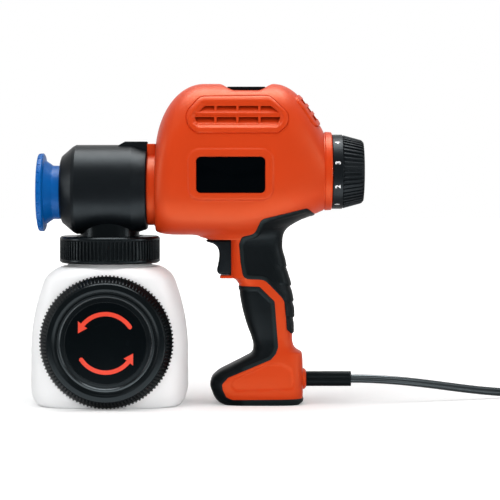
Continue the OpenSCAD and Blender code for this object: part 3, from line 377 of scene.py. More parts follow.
# Materials
def new_group(name, inputs, outputs):
    group = bpy.data.node_groups.new(name, "ShaderNodeTree")
    for label, kind, value in inputs:
        socket = group.interface.new_socket(name=label, in_out="INPUT", socket_type=kind)
        if value is not None:
            socket.default_value = value
    for label in outputs:
        group.interface.new_socket(name=label, in_out="OUTPUT", socket_type="NodeSocketFloat")
    return group, group.nodes.new("NodeGroupInput"), group.nodes.new("NodeGroupOutput")


def add_node(tree, kind, operation=None, **values):
    """A shader node with its operation and its plain values; an underscore stands for a space."""
    node = tree.nodes.new("ShaderNode" + kind)
    if operation:
        node.operation = operation
    for label, value in values.items():
        node.inputs[label.replace("_", " ")].default_value = value
    return node


def colour_mix(tree):
    """A colour mix: its share, its two colours and its result."""
    node = tree.nodes.new("ShaderNodeMix")
    node.data_type = "RGBA"
    return node.inputs[0], node.inputs[6], node.inputs[7], node.outputs[2]


def moulded_group():
    """Moulded plastic: a fine spark-eroded grain, and slow drifts in tone from the flow in the mould."""
    g, a, b = new_group(
        "moulded_surface",
        [("Vector", "NodeSocketVector", None), ("Grain Scale", "NodeSocketFloat", 1600.0)],
        ["Height", "Tone", "Sheen Spots"])
    grain = add_node(g, "TexNoise", Detail=4.0, Roughness=0.62)
    g.links.new(a.outputs["Grain Scale"], grain.inputs["Scale"])
    flow = add_node(g, "TexNoise", Scale=18.0, Detail=2.0)
    spots = add_node(g, "TexNoise", Scale=90.0, Detail=5.0)
    for node, label in ((grain, "Height"), (flow, "Tone"), (spots, "Sheen Spots")):
        g.links.new(a.outputs["Vector"], node.inputs["Vector"])
        g.links.new(node.outputs["Fac"], b.inputs[label])
    return g


def brushed_group():
    """Turned or ground metal: long fine streaks."""
    g, a, b = new_group(
        "ground_metal",
        [("Vector", "NodeSocketVector", None), ("Stretch", "NodeSocketVector", (60.0, 2600.0, 2600.0))],
        ["Height", "Tone"])
    scale = add_node(g, "VectorMath", "MULTIPLY")
    streak = add_node(g, "TexNoise", Scale=1.0, Detail=3.0)
    g.links.new(a.outputs["Vector"], scale.inputs[0])
    g.links.new(a.outputs["Stretch"], scale.inputs[1])
    g.links.new(scale.outputs["Vector"], streak.inputs["Vector"])
    g.links.new(streak.outputs["Fac"], b.inputs["Height"])
    g.links.new(streak.outputs["Fac"], b.inputs["Tone"])
    return g


MOULDED, BRUSHED = moulded_group(), brushed_group()


def linear(rgb):
    return tuple(((c / 255 + 0.055) / 1.055) ** 2.4 if c > 10.3 else c / 255 / 12.92 for c in rgb) + (1.0,)


def finish(name, rgb, rough, grain=1600.0, depth=0.00006, drift=0.10, specular=0.5, spread=0.08, tint=None,
           streaks=None):
    """One finish: its colour drifts slowly, its gloss varies a little and its grain or streaks are a bump."""
    mat = bpy.data.materials.new(name)
    mat.use_nodes = True
    t = mat.node_tree
    shader = t.nodes["Principled BSDF"]
    coords = add_node(t, "TexCoord")
    surface = t.nodes.new("ShaderNodeGroup")
    surface.node_tree = BRUSHED if streaks else MOULDED
    t.links.new(coords.outputs["Object"], surface.inputs["Vector"])
    if streaks:
        surface.inputs["Stretch"].default_value = streaks
        shader.inputs["Metallic"].default_value = 1.0
    else:
        surface.inputs["Grain Scale"].default_value = grain
        shader.inputs["Specular IOR Level"].default_value = specular
    if tint:
        shader.inputs["Specular Tint"].default_value = tint + (1.0,)
    share, darker, lighter, colour = colour_mix(t)
    base = linear(rgb)
    darker.default_value = tuple(c * (1 - drift) for c in base[:3]) + (1.0,)
    lighter.default_value = tuple(min(1.0, c * (1 + drift)) for c in base[:3]) + (1.0,)
    t.links.new(surface.outputs["Tone"], share)
    t.links.new(colour, shader.inputs["Base Color"])
    gloss = add_node(t, "MapRange", To_Min=max(0.02, rough - spread), To_Max=min(1.0, rough + spread))
    t.links.new(surface.outputs["Tone" if streaks else "Sheen Spots"], gloss.inputs["Value"])
    t.links.new(gloss.outputs["Result"], shader.inputs["Roughness"])
    bump = add_node(t, "Bump", Strength=1.0, Distance=depth)
    t.links.new(surface.outputs["Height"], bump.inputs["Height"])
    t.links.new(bump.outputs["Normal"], shader.inputs["Normal"])
    return mat


COOL, WARM = (0.8, 0.94, 1.0), (1.0, 0.78, 0.36)
# Colour, roughness, grain's fineness and depth, drift of tone, specular level, spread and tint of the gloss
MOULDINGS = {
    "orange_plastic": ((200, 57, 18), 0.42, 1500, 0.00005, 0.05, 0.14, 0.08, WARM),
    "soft_grip": ((6, 9, 11), 0.40, 1300, 0.00010, 0.12, 0.05, 0.08, COOL),
    "badge_black": ((0, 2, 4), 0.18, 900, 0.000003, 0.10, 0.015, 0.03, COOL),
    "black_plastic": ((10, 13, 16), 0.36, 1500, 0.00006, 0.10, 0.075, 0.08, COOL),
    "lid_black": ((4, 7, 9), 0.24, 1500, 0.00005, 0.10, 0.06, 0.08, COOL),
    "bead_black": ((7, 10, 12), 0.22, 1500, 0.00002, 0.10, 0.2, 0.04, COOL),
    "gloss_black": ((3, 6, 8), 0.26, 1200, 0.00001, 0.10, 0.018, 0.05, COOL),
    "ring_black": ((4, 7, 9), 0.26, 1200, 0.00002, 0.10, 0.085, 0.05, COOL),
    "cord_vinyl": ((5, 8, 10), 0.22, 1100, 0.00003, 0.10, 0.5, 0.05, COOL),
    "blue_plastic": ((4, 89, 163), 0.36, 1500, 0.00003, 0.06, 0.06),
    "natural_bottle": ((249, 250, 251), 0.36, 700, 0.00003, 0.012, 0.14),
    "arrow_print": ((222, 60, 34), 0.4, 1500, 0.00001, 0.04, 0.15),
    "number_print": ((236, 238, 240), 0.5, 1500, 0.00001, 0.03, 0.3),
    "seal_rubber": ((58, 60, 62), 0.7, 1600, 0.00006, 0.10, 0.3),
    "white_plastic": ((234, 234, 230), 0.4),
    "switch_plastic": ((44, 46, 48), 0.5),
}
# Colour, roughness, stretch of the streaks and their depth
METALS = {
    "steel": ((182, 184, 187), 0.28, (60.0, 2600.0, 2600.0), 0.00001),
    "core_steel": ((104, 108, 114), 0.42, (90.0, 2000.0, 90.0), 0.00006),
    "copper_wire": ((186, 100, 52), 0.34, (1400.0, 40.0, 40.0), 0.0002),
    "brass": ((200, 164, 88), 0.26, (60.0, 2200.0, 2200.0), 0.00001),
}
FINISH = {name: finish(name, *values) for name, values in MOULDINGS.items()}
for name, (rgb, rough, streaks, depth) in METALS.items():
    FINISH[name] = finish(name, rgb, rough, depth=depth, streaks=streaks)


def paler_band(mat, rgb):
    """The band round a pad's field gets a colour a little paler than the field's."""
    t = mat.node_tree
    base = t.nodes["Principled BSDF"].inputs["Base Color"]
    band = add_node(t, "Attribute")
    band.attribute_name = "band"
    share, field, edge, colour = colour_mix(t)
    t.links.new(band.outputs["Fac"], share)
    t.links.new(base.links[0].from_socket, field)
    edge.default_value = linear(rgb)
    t.links.new(colour, base)


def milky(mat, share, depth):
    """Light sinks a little way into the container's wall."""
    shader = mat.node_tree.nodes["Principled BSDF"]
    shader.inputs["Subsurface Weight"].default_value = share
    shader.inputs["Subsurface Radius"].default_value = (depth, depth, depth)
    shader.inputs["Subsurface Scale"].default_value = 1.0


paler_band(FINISH["soft_grip"], (24, 30, 31))
milky(FINISH["natural_bottle"], 0.35, 0.006)


def done(piece, finish_name, body, *nodes, slot=None):
    """Gives a finished piece its material, the body it moves with and the solids it stands for."""
    piece.data.materials.clear()
    piece.data.materials.append(FINISH[finish_name])
    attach(piece, body)
    if nodes:
        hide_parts(*nodes)
    slot or finish_name
    return piece


# Cord: a flat two-wire lead, straight from its guard, down to the bench and into its coil
CORD_W, CORD_T, CORD_REST = 7.6, 4.0, 4.8
ROUTE = [
    (230, 0.3, 17), (242, 1.2, 16.4), (254, 3, 15.4), (266, 5.5, 14.1), (278, 8.7, 12.5), (290, 12.5, 10.7),
    (302, 16.7, 8.7), (314, 21, 6.7), (326, 25.2, 4.8), (338, 29, 3.1), (350, 32.3, 1.7), (362, 35, 0.7),
    (374, 36.6, 0.2), (386, 37, 0), (398, 37, 0), (410, 37, 0)]


def cord_path():
    """The lead's route: out of its guard, down to the bench, and two layers of turns, in and out again."""
    points = [(195, 0, 22), (206, 0, 22), (217, 0, 22)] + [(x, y, z + CORD_REST) for x, y, z in ROUTE]
    turns, out_r, pitch, step, rise = 3, 47.0, CORD_T + 0.8, 24, CORD_W + 0.6
    mid = (420.0, 37.0 - out_r)
    inward, half = turns * step, step / 2
    least, second = out_r - pitch * (turns + 0.5), out_r - pitch * (turns - 1)
    for i in range(inward + step * turns + 1):
        if i <= inward + half:
            r = out_r - pitch * i / step
        elif i <= inward + step:
            r = mix(least, second, (i - inward - half) / half)
        else:
            r = second + pitch * (i - inward - step) / step
        turn = 2 * math.pi * i / step - math.pi / 2
        climb = min(1.0, max(0.0, (i - inward) / half))
        points.append((mid[0] + r * math.cos(turn), mid[1] - r * math.sin(turn), CORD_REST + rise * climb))
    points.append((mid[0] + 30, 37.0, CORD_REST + rise))
    return flowing(points)


def make_cord():
    """Two round wires side by side, standing on edge along the route."""
    path = cord_path()
    r, lobe = CORD_T / 2, (CORD_W - CORD_T) / 2
    section = []
    for side in (1, -1):
        for a in np.linspace(-50, 230, 15):
            a = math.radians(a if side > 0 else a + 180)
            section.append((r * math.cos(a), side * lobe + r * math.sin(a)))
    section = np.array(section)
    heading = np.gradient(path, axis=0)
    heading[:, 2] = 0
    heading /= np.linalg.norm(heading, axis=1, keepdims=True)
    side = np.stack([heading[:, 1], -heading[:, 0], np.zeros(len(path))], 1)
    rings = path[:, None, :] + section[None, :, :1] * side[:, None, :]
    rings[:, :, 2] += section[None, :, 1]
    cord = smooth(loft("mains_cord", rings), 50)
    done(cord, "cord_vinyl", "gun", "cord", "cord_coil")


make_cord()


# Motor housing and handle: dense skins over the same sections as the solids
def tail_fall(t):
    bend = 0.3
    return (1 - np.sqrt(1 - (bend * clamp01(t)) ** 2)) / (1 - math.sqrt(1 - bend * bend))


def pod_sizes(x):
    """Top, bottom, half width and squareness of the pod's section at x."""
    x, belly_x, oval, square = np.asarray(x, float), 111, 2, 2.9
    dome, fall = quarter((x - POD_FRONT) / DOME_L), tail_fall((x - POD_TAIL) / TAIL_L)
    cheek = quarter((x - POD_FRONT) / CHEEK_L)
    belly = clamp01((x - belly_x) / (POD_BACK - belly_x)) ** 1.6
    front = x < POD_TAIL
    top = np.where(front, mix(PUMP_Z + NOSE_R, POD_TOP, dome), mix(POD_TOP, BACK_Z + BACK_R, fall))
    half_w = np.where(front, mix(NOSE_R, POD_HALF, cheek), mix(POD_HALF, BACK_R, fall))
    power = np.where(front, mix(oval, square, dome), mix(square, oval, fall))
    bottom = np.where(x < belly_x, mix(PUMP_Z - NOSE_R, POD_BOTTOM, quarter(2.2 * (x - POD_FRONT) / DOME_L)),
                      mix(POD_BOTTOM, BACK_Z - BACK_R, belly))
    return top, bottom, half_w, power


def superellipse(a, b, power, count):
    t = np.linspace(0, 2 * np.pi, 1441)
    p = 2 / power
    c = np.stack([a * np.sign(np.cos(t)) * np.abs(np.cos(t)) ** p,
                  b * np.sign(np.sin(t)) * np.abs(np.sin(t)) ** p], 1)
    return even(c, count + 1)[:-1]


def pod_ring(x, grow, count):
    top, bottom, half_w, power = pod_sizes(x)
    c = superellipse((top - bottom) / 2 + grow, half_w + grow, power, count)
    return np.stack([np.full(count, x), c[:, 1], (top + bottom) / 2 + c[:, 0]], 1)


def outside_pod(p):
    """Less than nought inside the pod's skin, more outside it."""
    top, bottom, half_w, power = pod_sizes(np.clip(p[:, 0], POD_FRONT, POD_BACK))
    up = np.abs(p[:, 2] - (top + bottom) / 2) / ((top - bottom) / 2)
    return (np.abs(p[:, 1]) / half_w) ** power + up ** power - 1


def on_pod(start, way, reach=75.0, halvings=44):
    """Points of the pod's skin, met from inside along a direction, and the skin's normals there."""
    near, far = np.zeros(len(start)), np.full(len(start), reach)
    for _ in range(halvings):
        mid = (near + far) / 2
        out = outside_pod(start + mid[:, None] * way) > 0
        near, far = np.where(out, near, mid), np.where(out, mid, far)
    p = start + near[:, None] * way
    n = np.stack([outside_pod(p + d) - outside_pod(p - d) for d in np.eye(3) * 0.05], 1)
    return p, n / np.linalg.norm(n, axis=1, keepdims=True)


def outline_steps(outer, inner, shares, gap=2.0):
    """Outlines between two that have the same corners, at the given shares of the way, evenly cut up."""
    a, b = np.array(eased(outer, 5, True)), np.array(eased(inner, 5, True))
    cuts = np.maximum(1, np.ceil(np.linalg.norm(np.roll(a, -1, 0) - a, axis=1) / gap).astype(int))
    result = []
    for f in shares:
        c = mix(a, b, f)
        sides = zip(c, np.roll(c, -1, 0), cuts)
        result.append(np.concatenate([mix(p, q, np.arange(k)[:, None] / k) for p, q, k in sides]))
    return result


def shrunk(outline, by):
    mid = outline.mean(axis=0)
    return mid + (outline - mid) * by


def patch(name, outlines, place, depth=3.4):
    """A raised or sunk piece of the pod's skin as a solid, built in rings from its edge to its middle."""
    skin, back = [], []
    for outline, height in outlines:
        point, normal = place(outline)
        skin.append(point + normal * height if np.isscalar(height) else height(point))
        back.append(point - normal * depth)
    return loft(name, back[::-1] + skin)


VENT_MID = np.array((115.0, 258.5))
VENT_OPENING = [(-37.5, -1.1, 4), (-36.4, -5, 3), (-34, -7.75, 2.5), (34.5, -7.75, 2.5), (36.6, -5.3, 3),
                (37.5, -1.3, 4), (35.4, 2.9, 3), (29.2, 7.75, 3), (-28.6, 7.75, 3), (-33.7, 2.9, 3)]
VENT_BORDER = [(-44.8, -2.6, 8), (-42.5, -10.4, 8), (-35.5, -16, 7), (35.5, -15.8, 7), (43, -9.6, 8),
               (44.6, -3.3, 8), (43.4, 2.3, 8), (28.1, 16.7, 9), (-32.8, 15.9, 9), (-43.4, 3.6, 8)]
# Share of the way from a border to its opening, and the height over the skin there
VENT_PROFILE = [(-0.17, 0.02), (-0.11, -0.1), (-0.07, -0.55), (-0.02, -0.55), (0.01, 0.0), (0.03, 0.75),
                (0.07, 1.2), (0.13, 1.42), (0.25, 1.55), (0.42, 1.62), (0.5, 1.55), (0.56, 1.3), (0.66, 0.6),
                (0.8, -0.45), (0.92, -1.25), (0.97, -1.5), (1.0, -1.6)]
VENT_SUNK = VENT_PROFILE[-1][1]
# Windows of one vent: first corner, size, bars between them, and the middle that stays shut
WINDOW_X, WINDOW_Z, WINDOW_W, WINDOW_H, BAR = 77.5, 250.75, (75 - 6) / 4, 5.75, 2.0
BADGE_X, BADGE_Z = (78.8, 139.5), (190.0, 222.0)
BEZEL_X, BEZEL_Z = (71.0, 147.4), (183.0, 229.8)
BADGE_FLOOR, BEZEL_FACE, BEZEL_RISE = -47.4, -50.3, 1.6
BEZEL_PROFILE = [(-0.14, -0.08), (-0.1, 0.015), (-0.03, 0.015), (0.02, 0.06), (0.1, 0.36), (0.2, 0.74),
                 (0.27, 0.9), (0.35, 0.97), (0.6, 1.0), (0.86, 1.0), (0.93, 0.96), (0.975, 0.86), (1.0, 0.66)]
SADDLE_MID, SADDLE_DEPTH, SADDLE_HALF, SADDLE_RUN = 122.7, 6.4, 24.7, 14.7
REAR_TILT, REAR_X = math.radians(54), mix(POD_TAIL, POD_BACK, 0.73)
REAR_HALF, REAR_HALF_W, REAR_CORNER, SLOT_PITCH, SLOT_HALF = 16.6, 31.0, 9.0, 8.6, 2.7
# How far outside the rear vent's border, and the height over the skin there
REAR_PROFILE = [(1.6, -0.1), (1.4, 0.03), (1.2, 0.02), (0.9, -0.35), (0.3, -0.4), (0.0, 0.1), (-0.35, 0.7),
                (-1.0, 1.05), (-2.0, 1.15)]
TO_MIDDLE = (0.8, 0.6, 0.4, 0.2, 0.03)


def rect(x, z, r):
    return [(x[0], z[0], r), (x[1], z[0], r), (x[1], z[1], r), (x[0], z[1], r)]


def grown(span, by):
    return (span[0] - by, span[1] + by)


def saddle_fall(x):
    return SADDLE_DEPTH * soft_step((SADDLE_HALF - np.abs(x - SADDLE_MID)) / SADDLE_RUN)


def vent_outlines(shares):
    return [VENT_MID + o for o in outline_steps(VENT_BORDER, VENT_OPENING, shares)]


def beside(outline, side):
    start = np.stack([outline[:, 0], np.zeros(len(outline)), outline[:, 1]], 1)
    return on_pod(start, np.array((0.0, side, 0.0)))


def make_vent_surround(side):
    shares = [f for f, h in VENT_PROFILE]
    rings = list(zip(vent_outlines(shares), [h for f, h in VENT_PROFILE]))
    rings += [(shrunk(rings[-1][0], k), VENT_SUNK) for k in TO_MIDDLE]
    return patch("vent_surround", rings, lambda outline: beside(outline, side))


def bezel_outlines(shares):
    return outline_steps(rect(BEZEL_X, BEZEL_Z, 11.0), rect(BADGE_X, BADGE_Z, 4.2), shares)


def make_badge_bezel():
    def at_share(k):
        def height(point):
            out = point.copy()
            face = (point[:, 1] - BEZEL_RISE + BEZEL_FACE) / 2
            out[:, 1] = mix(point[:, 1], face, k)
            return out
        return height

    def floor(point):
        out = point.copy()
        out[:, 1] = BADGE_FLOOR
        return out

    outlines = bezel_outlines([f for f, k in BEZEL_PROFILE])
    rings = [(outline, at_share(k)) for outline, (f, k) in zip(outlines, BEZEL_PROFILE)]
    rings += [(shrunk(outlines[-1], k), floor) for k in (0.9995, 0.7, 0.4, 0.03)]
    return patch("badge_bezel", rings, lambda outline: beside(outline, -1.0), 4.0)


def behind(outline):
    """Points across the tail's slope: along it and across it."""
    down = np.array((math.cos(REAR_TILT), 0, -math.sin(REAR_TILT)))
    out = np.array((math.sin(REAR_TILT), 0, math.cos(REAR_TILT)))
    base = np.array((REAR_X, 0, float(pod_sizes(REAR_X)[0]))) - 30 * out
    start = base + outline[:, :1] * down + outline[:, 1:] * np.array((0, 1.0, 0))
    return on_pod(start, out)


def make_rear_frame():
    rings = []
    for grow, height in REAR_PROFILE:
        outer = rect(grown((-REAR_HALF, REAR_HALF), grow), grown((-REAR_HALF_W, REAR_HALF_W), grow),
                     REAR_CORNER + grow)
        rings.append((outline_steps(outer, outer, [0.0])[0], height))
    rings += [(shrunk(rings[-1][0], k), 1.2) for k in TO_MIDDLE]
    return patch("rear_frame", rings, behind)


def rear_placed(piece):
    return placed(piece, (REAR_X, 0, float(pod_sizes(REAR_X)[0])), REAR_TILT)


def lower_saddle(g):
    """Lets the saddle down across the pod's top, with a softly rolled edge."""
    out = g.copy()
    fall = saddle_fall(out[..., 0])
    level = POD_TOP - fall
    roll = np.maximum(1e-6, 3.0 * np.minimum(1, fall / 2.5))
    share = clamp01(0.5 + 0.5 * (level - out[..., 2]) / roll)
    lowered = mix(level, out[..., 2], share) - roll * share * (1 - share)
    out[..., 2] = np.where(fall > 1e-4, lowered, out[..., 2])
    return out


# Height, reach to the front and back of GRIP_X, half width and squareness of the handle's sections
HANDLE_ROWS = np.array([
    (0, 37, 30, 20, 4), (3.5, 43.5, 33.2, 22.5, 4), (11, 47.7, 33.6, 23.5, 4), (18, 49.6, 33.6, 23.5, 4),
    (24, 48, 33.6, 23.2, 4), (29.5, 42.5, 33.5, 22.5, 4), (36, 30.5, 33.4, 21.5, 3.8),
    (42, 19, 33.2, 20.5, 3.6), (46, 12.5, 32.6, 19.5, 3.4), (49.06, 11, 28, 18.7, 3),
    (53.14, 10.8, 25, 18, 2.8), (59.26, 12.2, 24, 17.5, 2.6), (70.48, 16.3, 25, 18, 2.5),
    (85.78, 20.6, 25.3, 18.5, 2.5), (97, 22.7, 24, 18.5, 2.5), (107.2, 24, 22.5, 18.2, 2.6),
    (110.3, 25.8, 21.8, 18.05, 2.75), (112.7, 28.6, 21.2, 17.9, 2.9), (114, 32, 20.8, 17.8, 3),
    (129.64, 32, 17.7, 17.2, 3), (141.88, 32, 14.8, 17.6, 3), (148, 32, 15, 18.5, 3),
    (152, 32.2, 15.6, 19.8, 2.8), (156, 32.8, 17, 22, 2.6), (161, 34, 20.5, 25, 2.4),
    (165, 36, 26, 27, 2.3), (169, 39, 35, 28, 2.2), (HANDLE_TOP, 42, 43, 26, 2.2)])
# The same for the roof over the trigger
ROOF_ROWS = np.array([
    (GRIP_TOP, 52, 8, 17.8, 3), (151, 56, 8, 19.1, 2.8), (156, 58, 8, 21.6, 2.6), (161, 58, 8, 24.6, 2.4),
    (165, 56, 8, 26, 2.3), (HANDLE_TOP, 50, 8, 26, 2.2)])


def handle_sizes(z, rows):
    """Reach to the front and back, half width and squareness of the handle's section at z."""
    return np.array([monotone(rows[:, 0], rows[:, k], z) for k in range(1, 5)])


def handle_rings(grow, foot, count, step, low=0.0, high=HANDLE_TOP, rows=HANDLE_ROWS):
    z = np.unique(np.concatenate([np.arange(low, high, step), rows[:, 0], [max(low, foot), high]]))
    z = z[(z >= max(low, foot) - 1e-6) & (z <= high + 1e-6)]
    rings = []
    for h in z:
        front, back, half_w, power = handle_sizes(np.array([h]), rows)[:, 0]
        c = superellipse((front + back) / 2 + grow, half_w + grow, power, count)
        rings.append(np.stack([GRIP_X + (back - front) / 2 + c[:, 0], c[:, 1], np.full(count, h)], 1))
    return np.array(rings)


def outside_rows(p, rows):
    """Less than nought inside the handle's or the roof's skin, more outside it."""
    front, back, half_w, power = handle_sizes(np.clip(p[:, 2], rows[0, 0], rows[-1, 0]), rows)
    along = np.abs(p[:, 0] - GRIP_X - (back - front) / 2) / ((front + back) / 2)
    return (along ** power + (np.abs(p[:, 1]) / half_w) ** power) ** (1 / power) - 1


def distance_out(field, p, step=0.05):
    """Rough distance outside a form, from how fast its field rises there."""
    rise = np.stack([field(p + d) - field(p - d) for d in np.eye(3) * step], 1) / (2 * step)
    return field(p) / np.maximum(np.linalg.norm(rise, axis=1), 1e-6)


EVENED = 0.38  # makes the pod's field rise about evenly


def merged_distance(p, reach):
    """Distance outside pod, handle and trigger roof, with sharp corners and with filled ones."""
    pod = distance_out(lambda q: (outside_pod(q) + 1) ** EVENED - 1, p)
    neck = np.min([np.maximum(distance_out(lambda q: outside_rows(q, rows), p), rows[0, 0] - p[:, 2])
                   for rows in (HANDLE_ROWS, ROOF_ROWS)], axis=0)
    near = clamp01(1 - np.abs(pod - neck) / reach)
    sharp = np.minimum(pod, neck)
    return sharp, sharp - reach * near ** 3 / 6


def fill_corner(piece, reach=12.0, step=0.1):
    """Rounds the corner where the handle grows out of the pod, above the trigger."""
    p = points_of(piece)
    # the fill fades out below the corner, above it and behind it
    weight = soft_step((p[:, 2] - 146) / 6) * soft_step((170 - p[:, 2]) / 9) * soft_step((178 - p[:, 0]) / 16)
    pick = np.nonzero(weight > 0)[0]
    sharp, soft = merged_distance(p[pick], reach)
    pick, target = pick[sharp - soft > 0.002], sharp[sharp - soft > 0.002]
    q = p[pick].copy()
    for _ in range(3):
        off = merged_distance(q, reach)[1] - target
        rise = np.stack([merged_distance(q + d, reach)[1] - merged_distance(q - d, reach)[1]
                         for d in np.eye(3) * step], 1) / (2 * step)
        q -= rise * np.clip(off / np.maximum((rise ** 2).sum(axis=1), 0.2), -2, 2)[:, None]
    p[pick] += (q - p[pick]) * weight[pick][:, None]
    piece.data.vertices.foreach_set("co", (p * MM).ravel())
    piece.data.update()


def grip_z(t):
    return mix(BASE_H, GRIP_TOP, t)


def rounded_outline(points, r):
    return eased([(GRIP_X + p[0], p[1], p[2] if len(p) > 2 else r) for p in points], 5, True)


UPPER_PAD = rounded_outline([
    (70, GRIP_TOP + 10), (44.8, GRIP_TOP + 10), (44.2, GRIP_TOP + 22.5, 2), (36.6, GRIP_TOP + 28.4, 4),
    (-4, GRIP_TOP + 18.6, 6), (-10, GRIP_TOP + 5.5, 7), (-21.5, GRIP_TOP + 2.6, 4), (-23.8, GRIP_TOP - 4),
    (-22.5, grip_z(0.8)), (-19.9, grip_z(0.655), 6), (-1, grip_z(0.65), 11), (16.4, grip_z(0.475), 12),
    (18, grip_z(0.33)), (19, grip_z(0.21)), (24, grip_z(0.165)), (70, grip_z(0.165))], 3.0)
LOWER_PAD = rounded_outline([
    (-60, grip_z(0.595)), (-5.5, grip_z(0.59)), (8, grip_z(0.46)), (11.2, grip_z(0.06)), (9, BASE_H),
    (4.6, BASE_H - 5), (-33.6, 25), (-39, 19), (-38.3, 14), (-35, 7.4), (-29.7, 5.2), (60, 5.9), (60, -1),
    (-60, -1)], 3.0)
BASE_PANEL = eased([(108.5, 18.2, 4), (110.9, 23.7, 4), (140.8, 37.3, 6), (154, 37.7, 5), (163.5, 32.5, 4),
                    (165, 22, 3), (165, 14.5, 3), (112.7, 12.7, 4)], 5, True)
PANEL_SUNK = 1.3
SCREWS = [(51.4, 245.0), (158.0, 268.0), (67.0, 165.0), (169.7, 184.5), (153.5, grip_z(0.33)), (110.0, 17.0),
          (160.0, 36.0)]


def dress_handle(g):
    """Sinks the panel in the side of the base."""
    n = grid_normals(g)
    d = outside_outline(g[..., 0], g[..., 2], BASE_PANEL)
    sides = (np.abs(g[..., 1]) > 12) & (g[..., 2] < BASE_H + 2)
    return g + n * np.where(sides, -PANEL_SUNK * soft_step((0.6 - d) / 2.0), 0)[..., None]


PAD_FRONT = 106.0
# Heights of the scales' upper edges, and one scale's rise along its length
SCALES = (123.5, 106.0, 91.6, 77.2, 63.0)
SCALE_PROFILE = ((0.0, -0.75), (0.06, -0.6), (0.3, 0.15), (0.6, 0.5), (0.88, 0.62), (0.94, 0.25),
                 (1.0, -0.75))


def dress_pad(g, outline, band, fingers):
    """A pad's face: a rolled edge, a band, a sunk field, and scales down the back of the upper pad."""
    n = grid_normals(g)
    d = -outside_outline(g[..., 0], g[..., 2], outline)
    edge, face, roll, sunk = -0.55, 0.3, 1.1, 0.5
    h = mix(edge, face, quarter(d / roll)) - sunk * soft_step((d - band) / 0.8)
    if fingers:
        rear = soft_step((n[..., 0] - 0.2) / 0.35)
        h = mix(h, np.minimum(h, 0.1), rear)
        z = g[..., 2] - 2.5 * (1 - clamp01((n[..., 0] - 0.2) / 0.6))
        along, lift = np.array(SCALE_PROFILE).T
        for top, low in zip(SCALES[:-1], SCALES[1:]):
            t = (top - z) / (top - low)
            h = h + np.where((t >= 0) & (t < 1), np.interp(t, along, lift), 0) * rear
    return g + n * h[..., None]


def mark_band(piece, outline, band, fade):
    """Notes where a pad's band runs, for its finish; it fades out along X between two places."""
    p = points_of(piece)
    d = -outside_outline(p[:, 0], p[:, 2], outline)
    note = piece.data.attributes.new("band", "FLOAT", "POINT")
    amount = soft_step((band + 0.5 - d) / 0.8) * soft_step((p[:, 0] - fade[0]) / (fade[1] - fade[0]))
    note.data.foreach_set("value", amount.astype(np.float32))


def cored_ring(x):
    """The hollow inside lags behind the skin at the nose, so that the front wall keeps its thickness."""
    at = min(max(x, POD_FRONT), POD_BACK)
    lag = min(at - POD_FRONT, WALL * (1 - min(1.0, (at - POD_FRONT) / DOME_L)))
    return pod_ring(at - lag, -WALL, 96) + [x - at + lag, 0, 0]


def under_pad(low, high):
    """The floor of a pad's seat: the handle, and for the upper pad the pod too, less the pad's thickness."""
    under = loft("under", handle_rings(-PAD_T, 0 if low else PAD_T, 96, 1.6, low, high))
    if low:
        rings = [pod_ring(x, -PAD_T, 120) for x in np.linspace(PAD_FRONT, POD_BACK, 44)]
        add(under, loft("under_pod", rings))
        fill_corner(under)
    return under


def half_of(whole, side, name):
    half = copy_of(whole, name)
    y = sorted((side * SEAM, side * FAR))
    return combine(half, box("half", (0, y[0], -10), (260, y[1], 320)), "INTERSECT")


def let_in_fittings(body):
    """Lets the vents' surrounds, the badge's bezel and the rear vent's frame into the pod's skin."""
    inmost = 18.0
    for side in (-1.0, 1.0):
        hole = prism("hole", vent_outlines([-0.12])[0], *sorted((side * inmost, side * FAR)))
        cut(body, hole)
        add(body, make_vent_surround(side))
    cut(body, prism("hole", bezel_outlines([-0.08])[0], -FAR, -inmost))
    add(body, make_badge_bezel())
    cut(body, rear_placed(box("hole", (-17.6, -32, -14), (17.6, 32, 20), 9, 6)))
    add(body, make_rear_frame())


def grow_handle(body):
    """Joins on the handle, the roof over the trigger, the cord's gland and the lip below the trigger."""
    add(body, loft("handle", dress_handle(handle_rings(0, 0, 190, 0.8))))
    add(body, loft("roof", handle_rings(0, 0, 170, 0.8, GRIP_TOP, HANDLE_TOP, ROOF_ROWS)))
    fill_corner(body)
    gland = spun("gland", eased([
        (0, 158), (9.6, 158), (9.9, 166, 3), (10.1, 171.5, 3), (9.2, 175.2, 2.2), (7.4, 176.5, 0.8),
        (0, 176.5)]), "X", (0, 0, 22), 64)
    add(body, gland)
    add(body, box("lip", (99, -10.5, 113.0), (116, 10.5, 115.6), 1.2))


def hollow_out(body, stations):
    """Hollows the housing, with bosses left for the screws and a floor under the saddle."""
    inside = np.concatenate([[POD_FRONT - 1], stations[6::6], [POD_BACK + 1]])
    core = loft("core", [cored_ring(x) for x in inside])
    add(core, loft("handle_core", handle_rings(-WALL, WALL, 72, 3.0)))
    for x, z in SCREWS:
        cut(core, rod("boss", "Y", (x, 0, z), 5.0, -FAR, FAR, 32))
    under_saddle = POD_TOP - SADDLE_DEPTH - WALL
    floor = box("saddle_floor", (SADDLE_MID - 27, -FAR, under_saddle), (SADDLE_MID + 27, FAR, 300))
    cut(core, floor)
    cut(body, core)


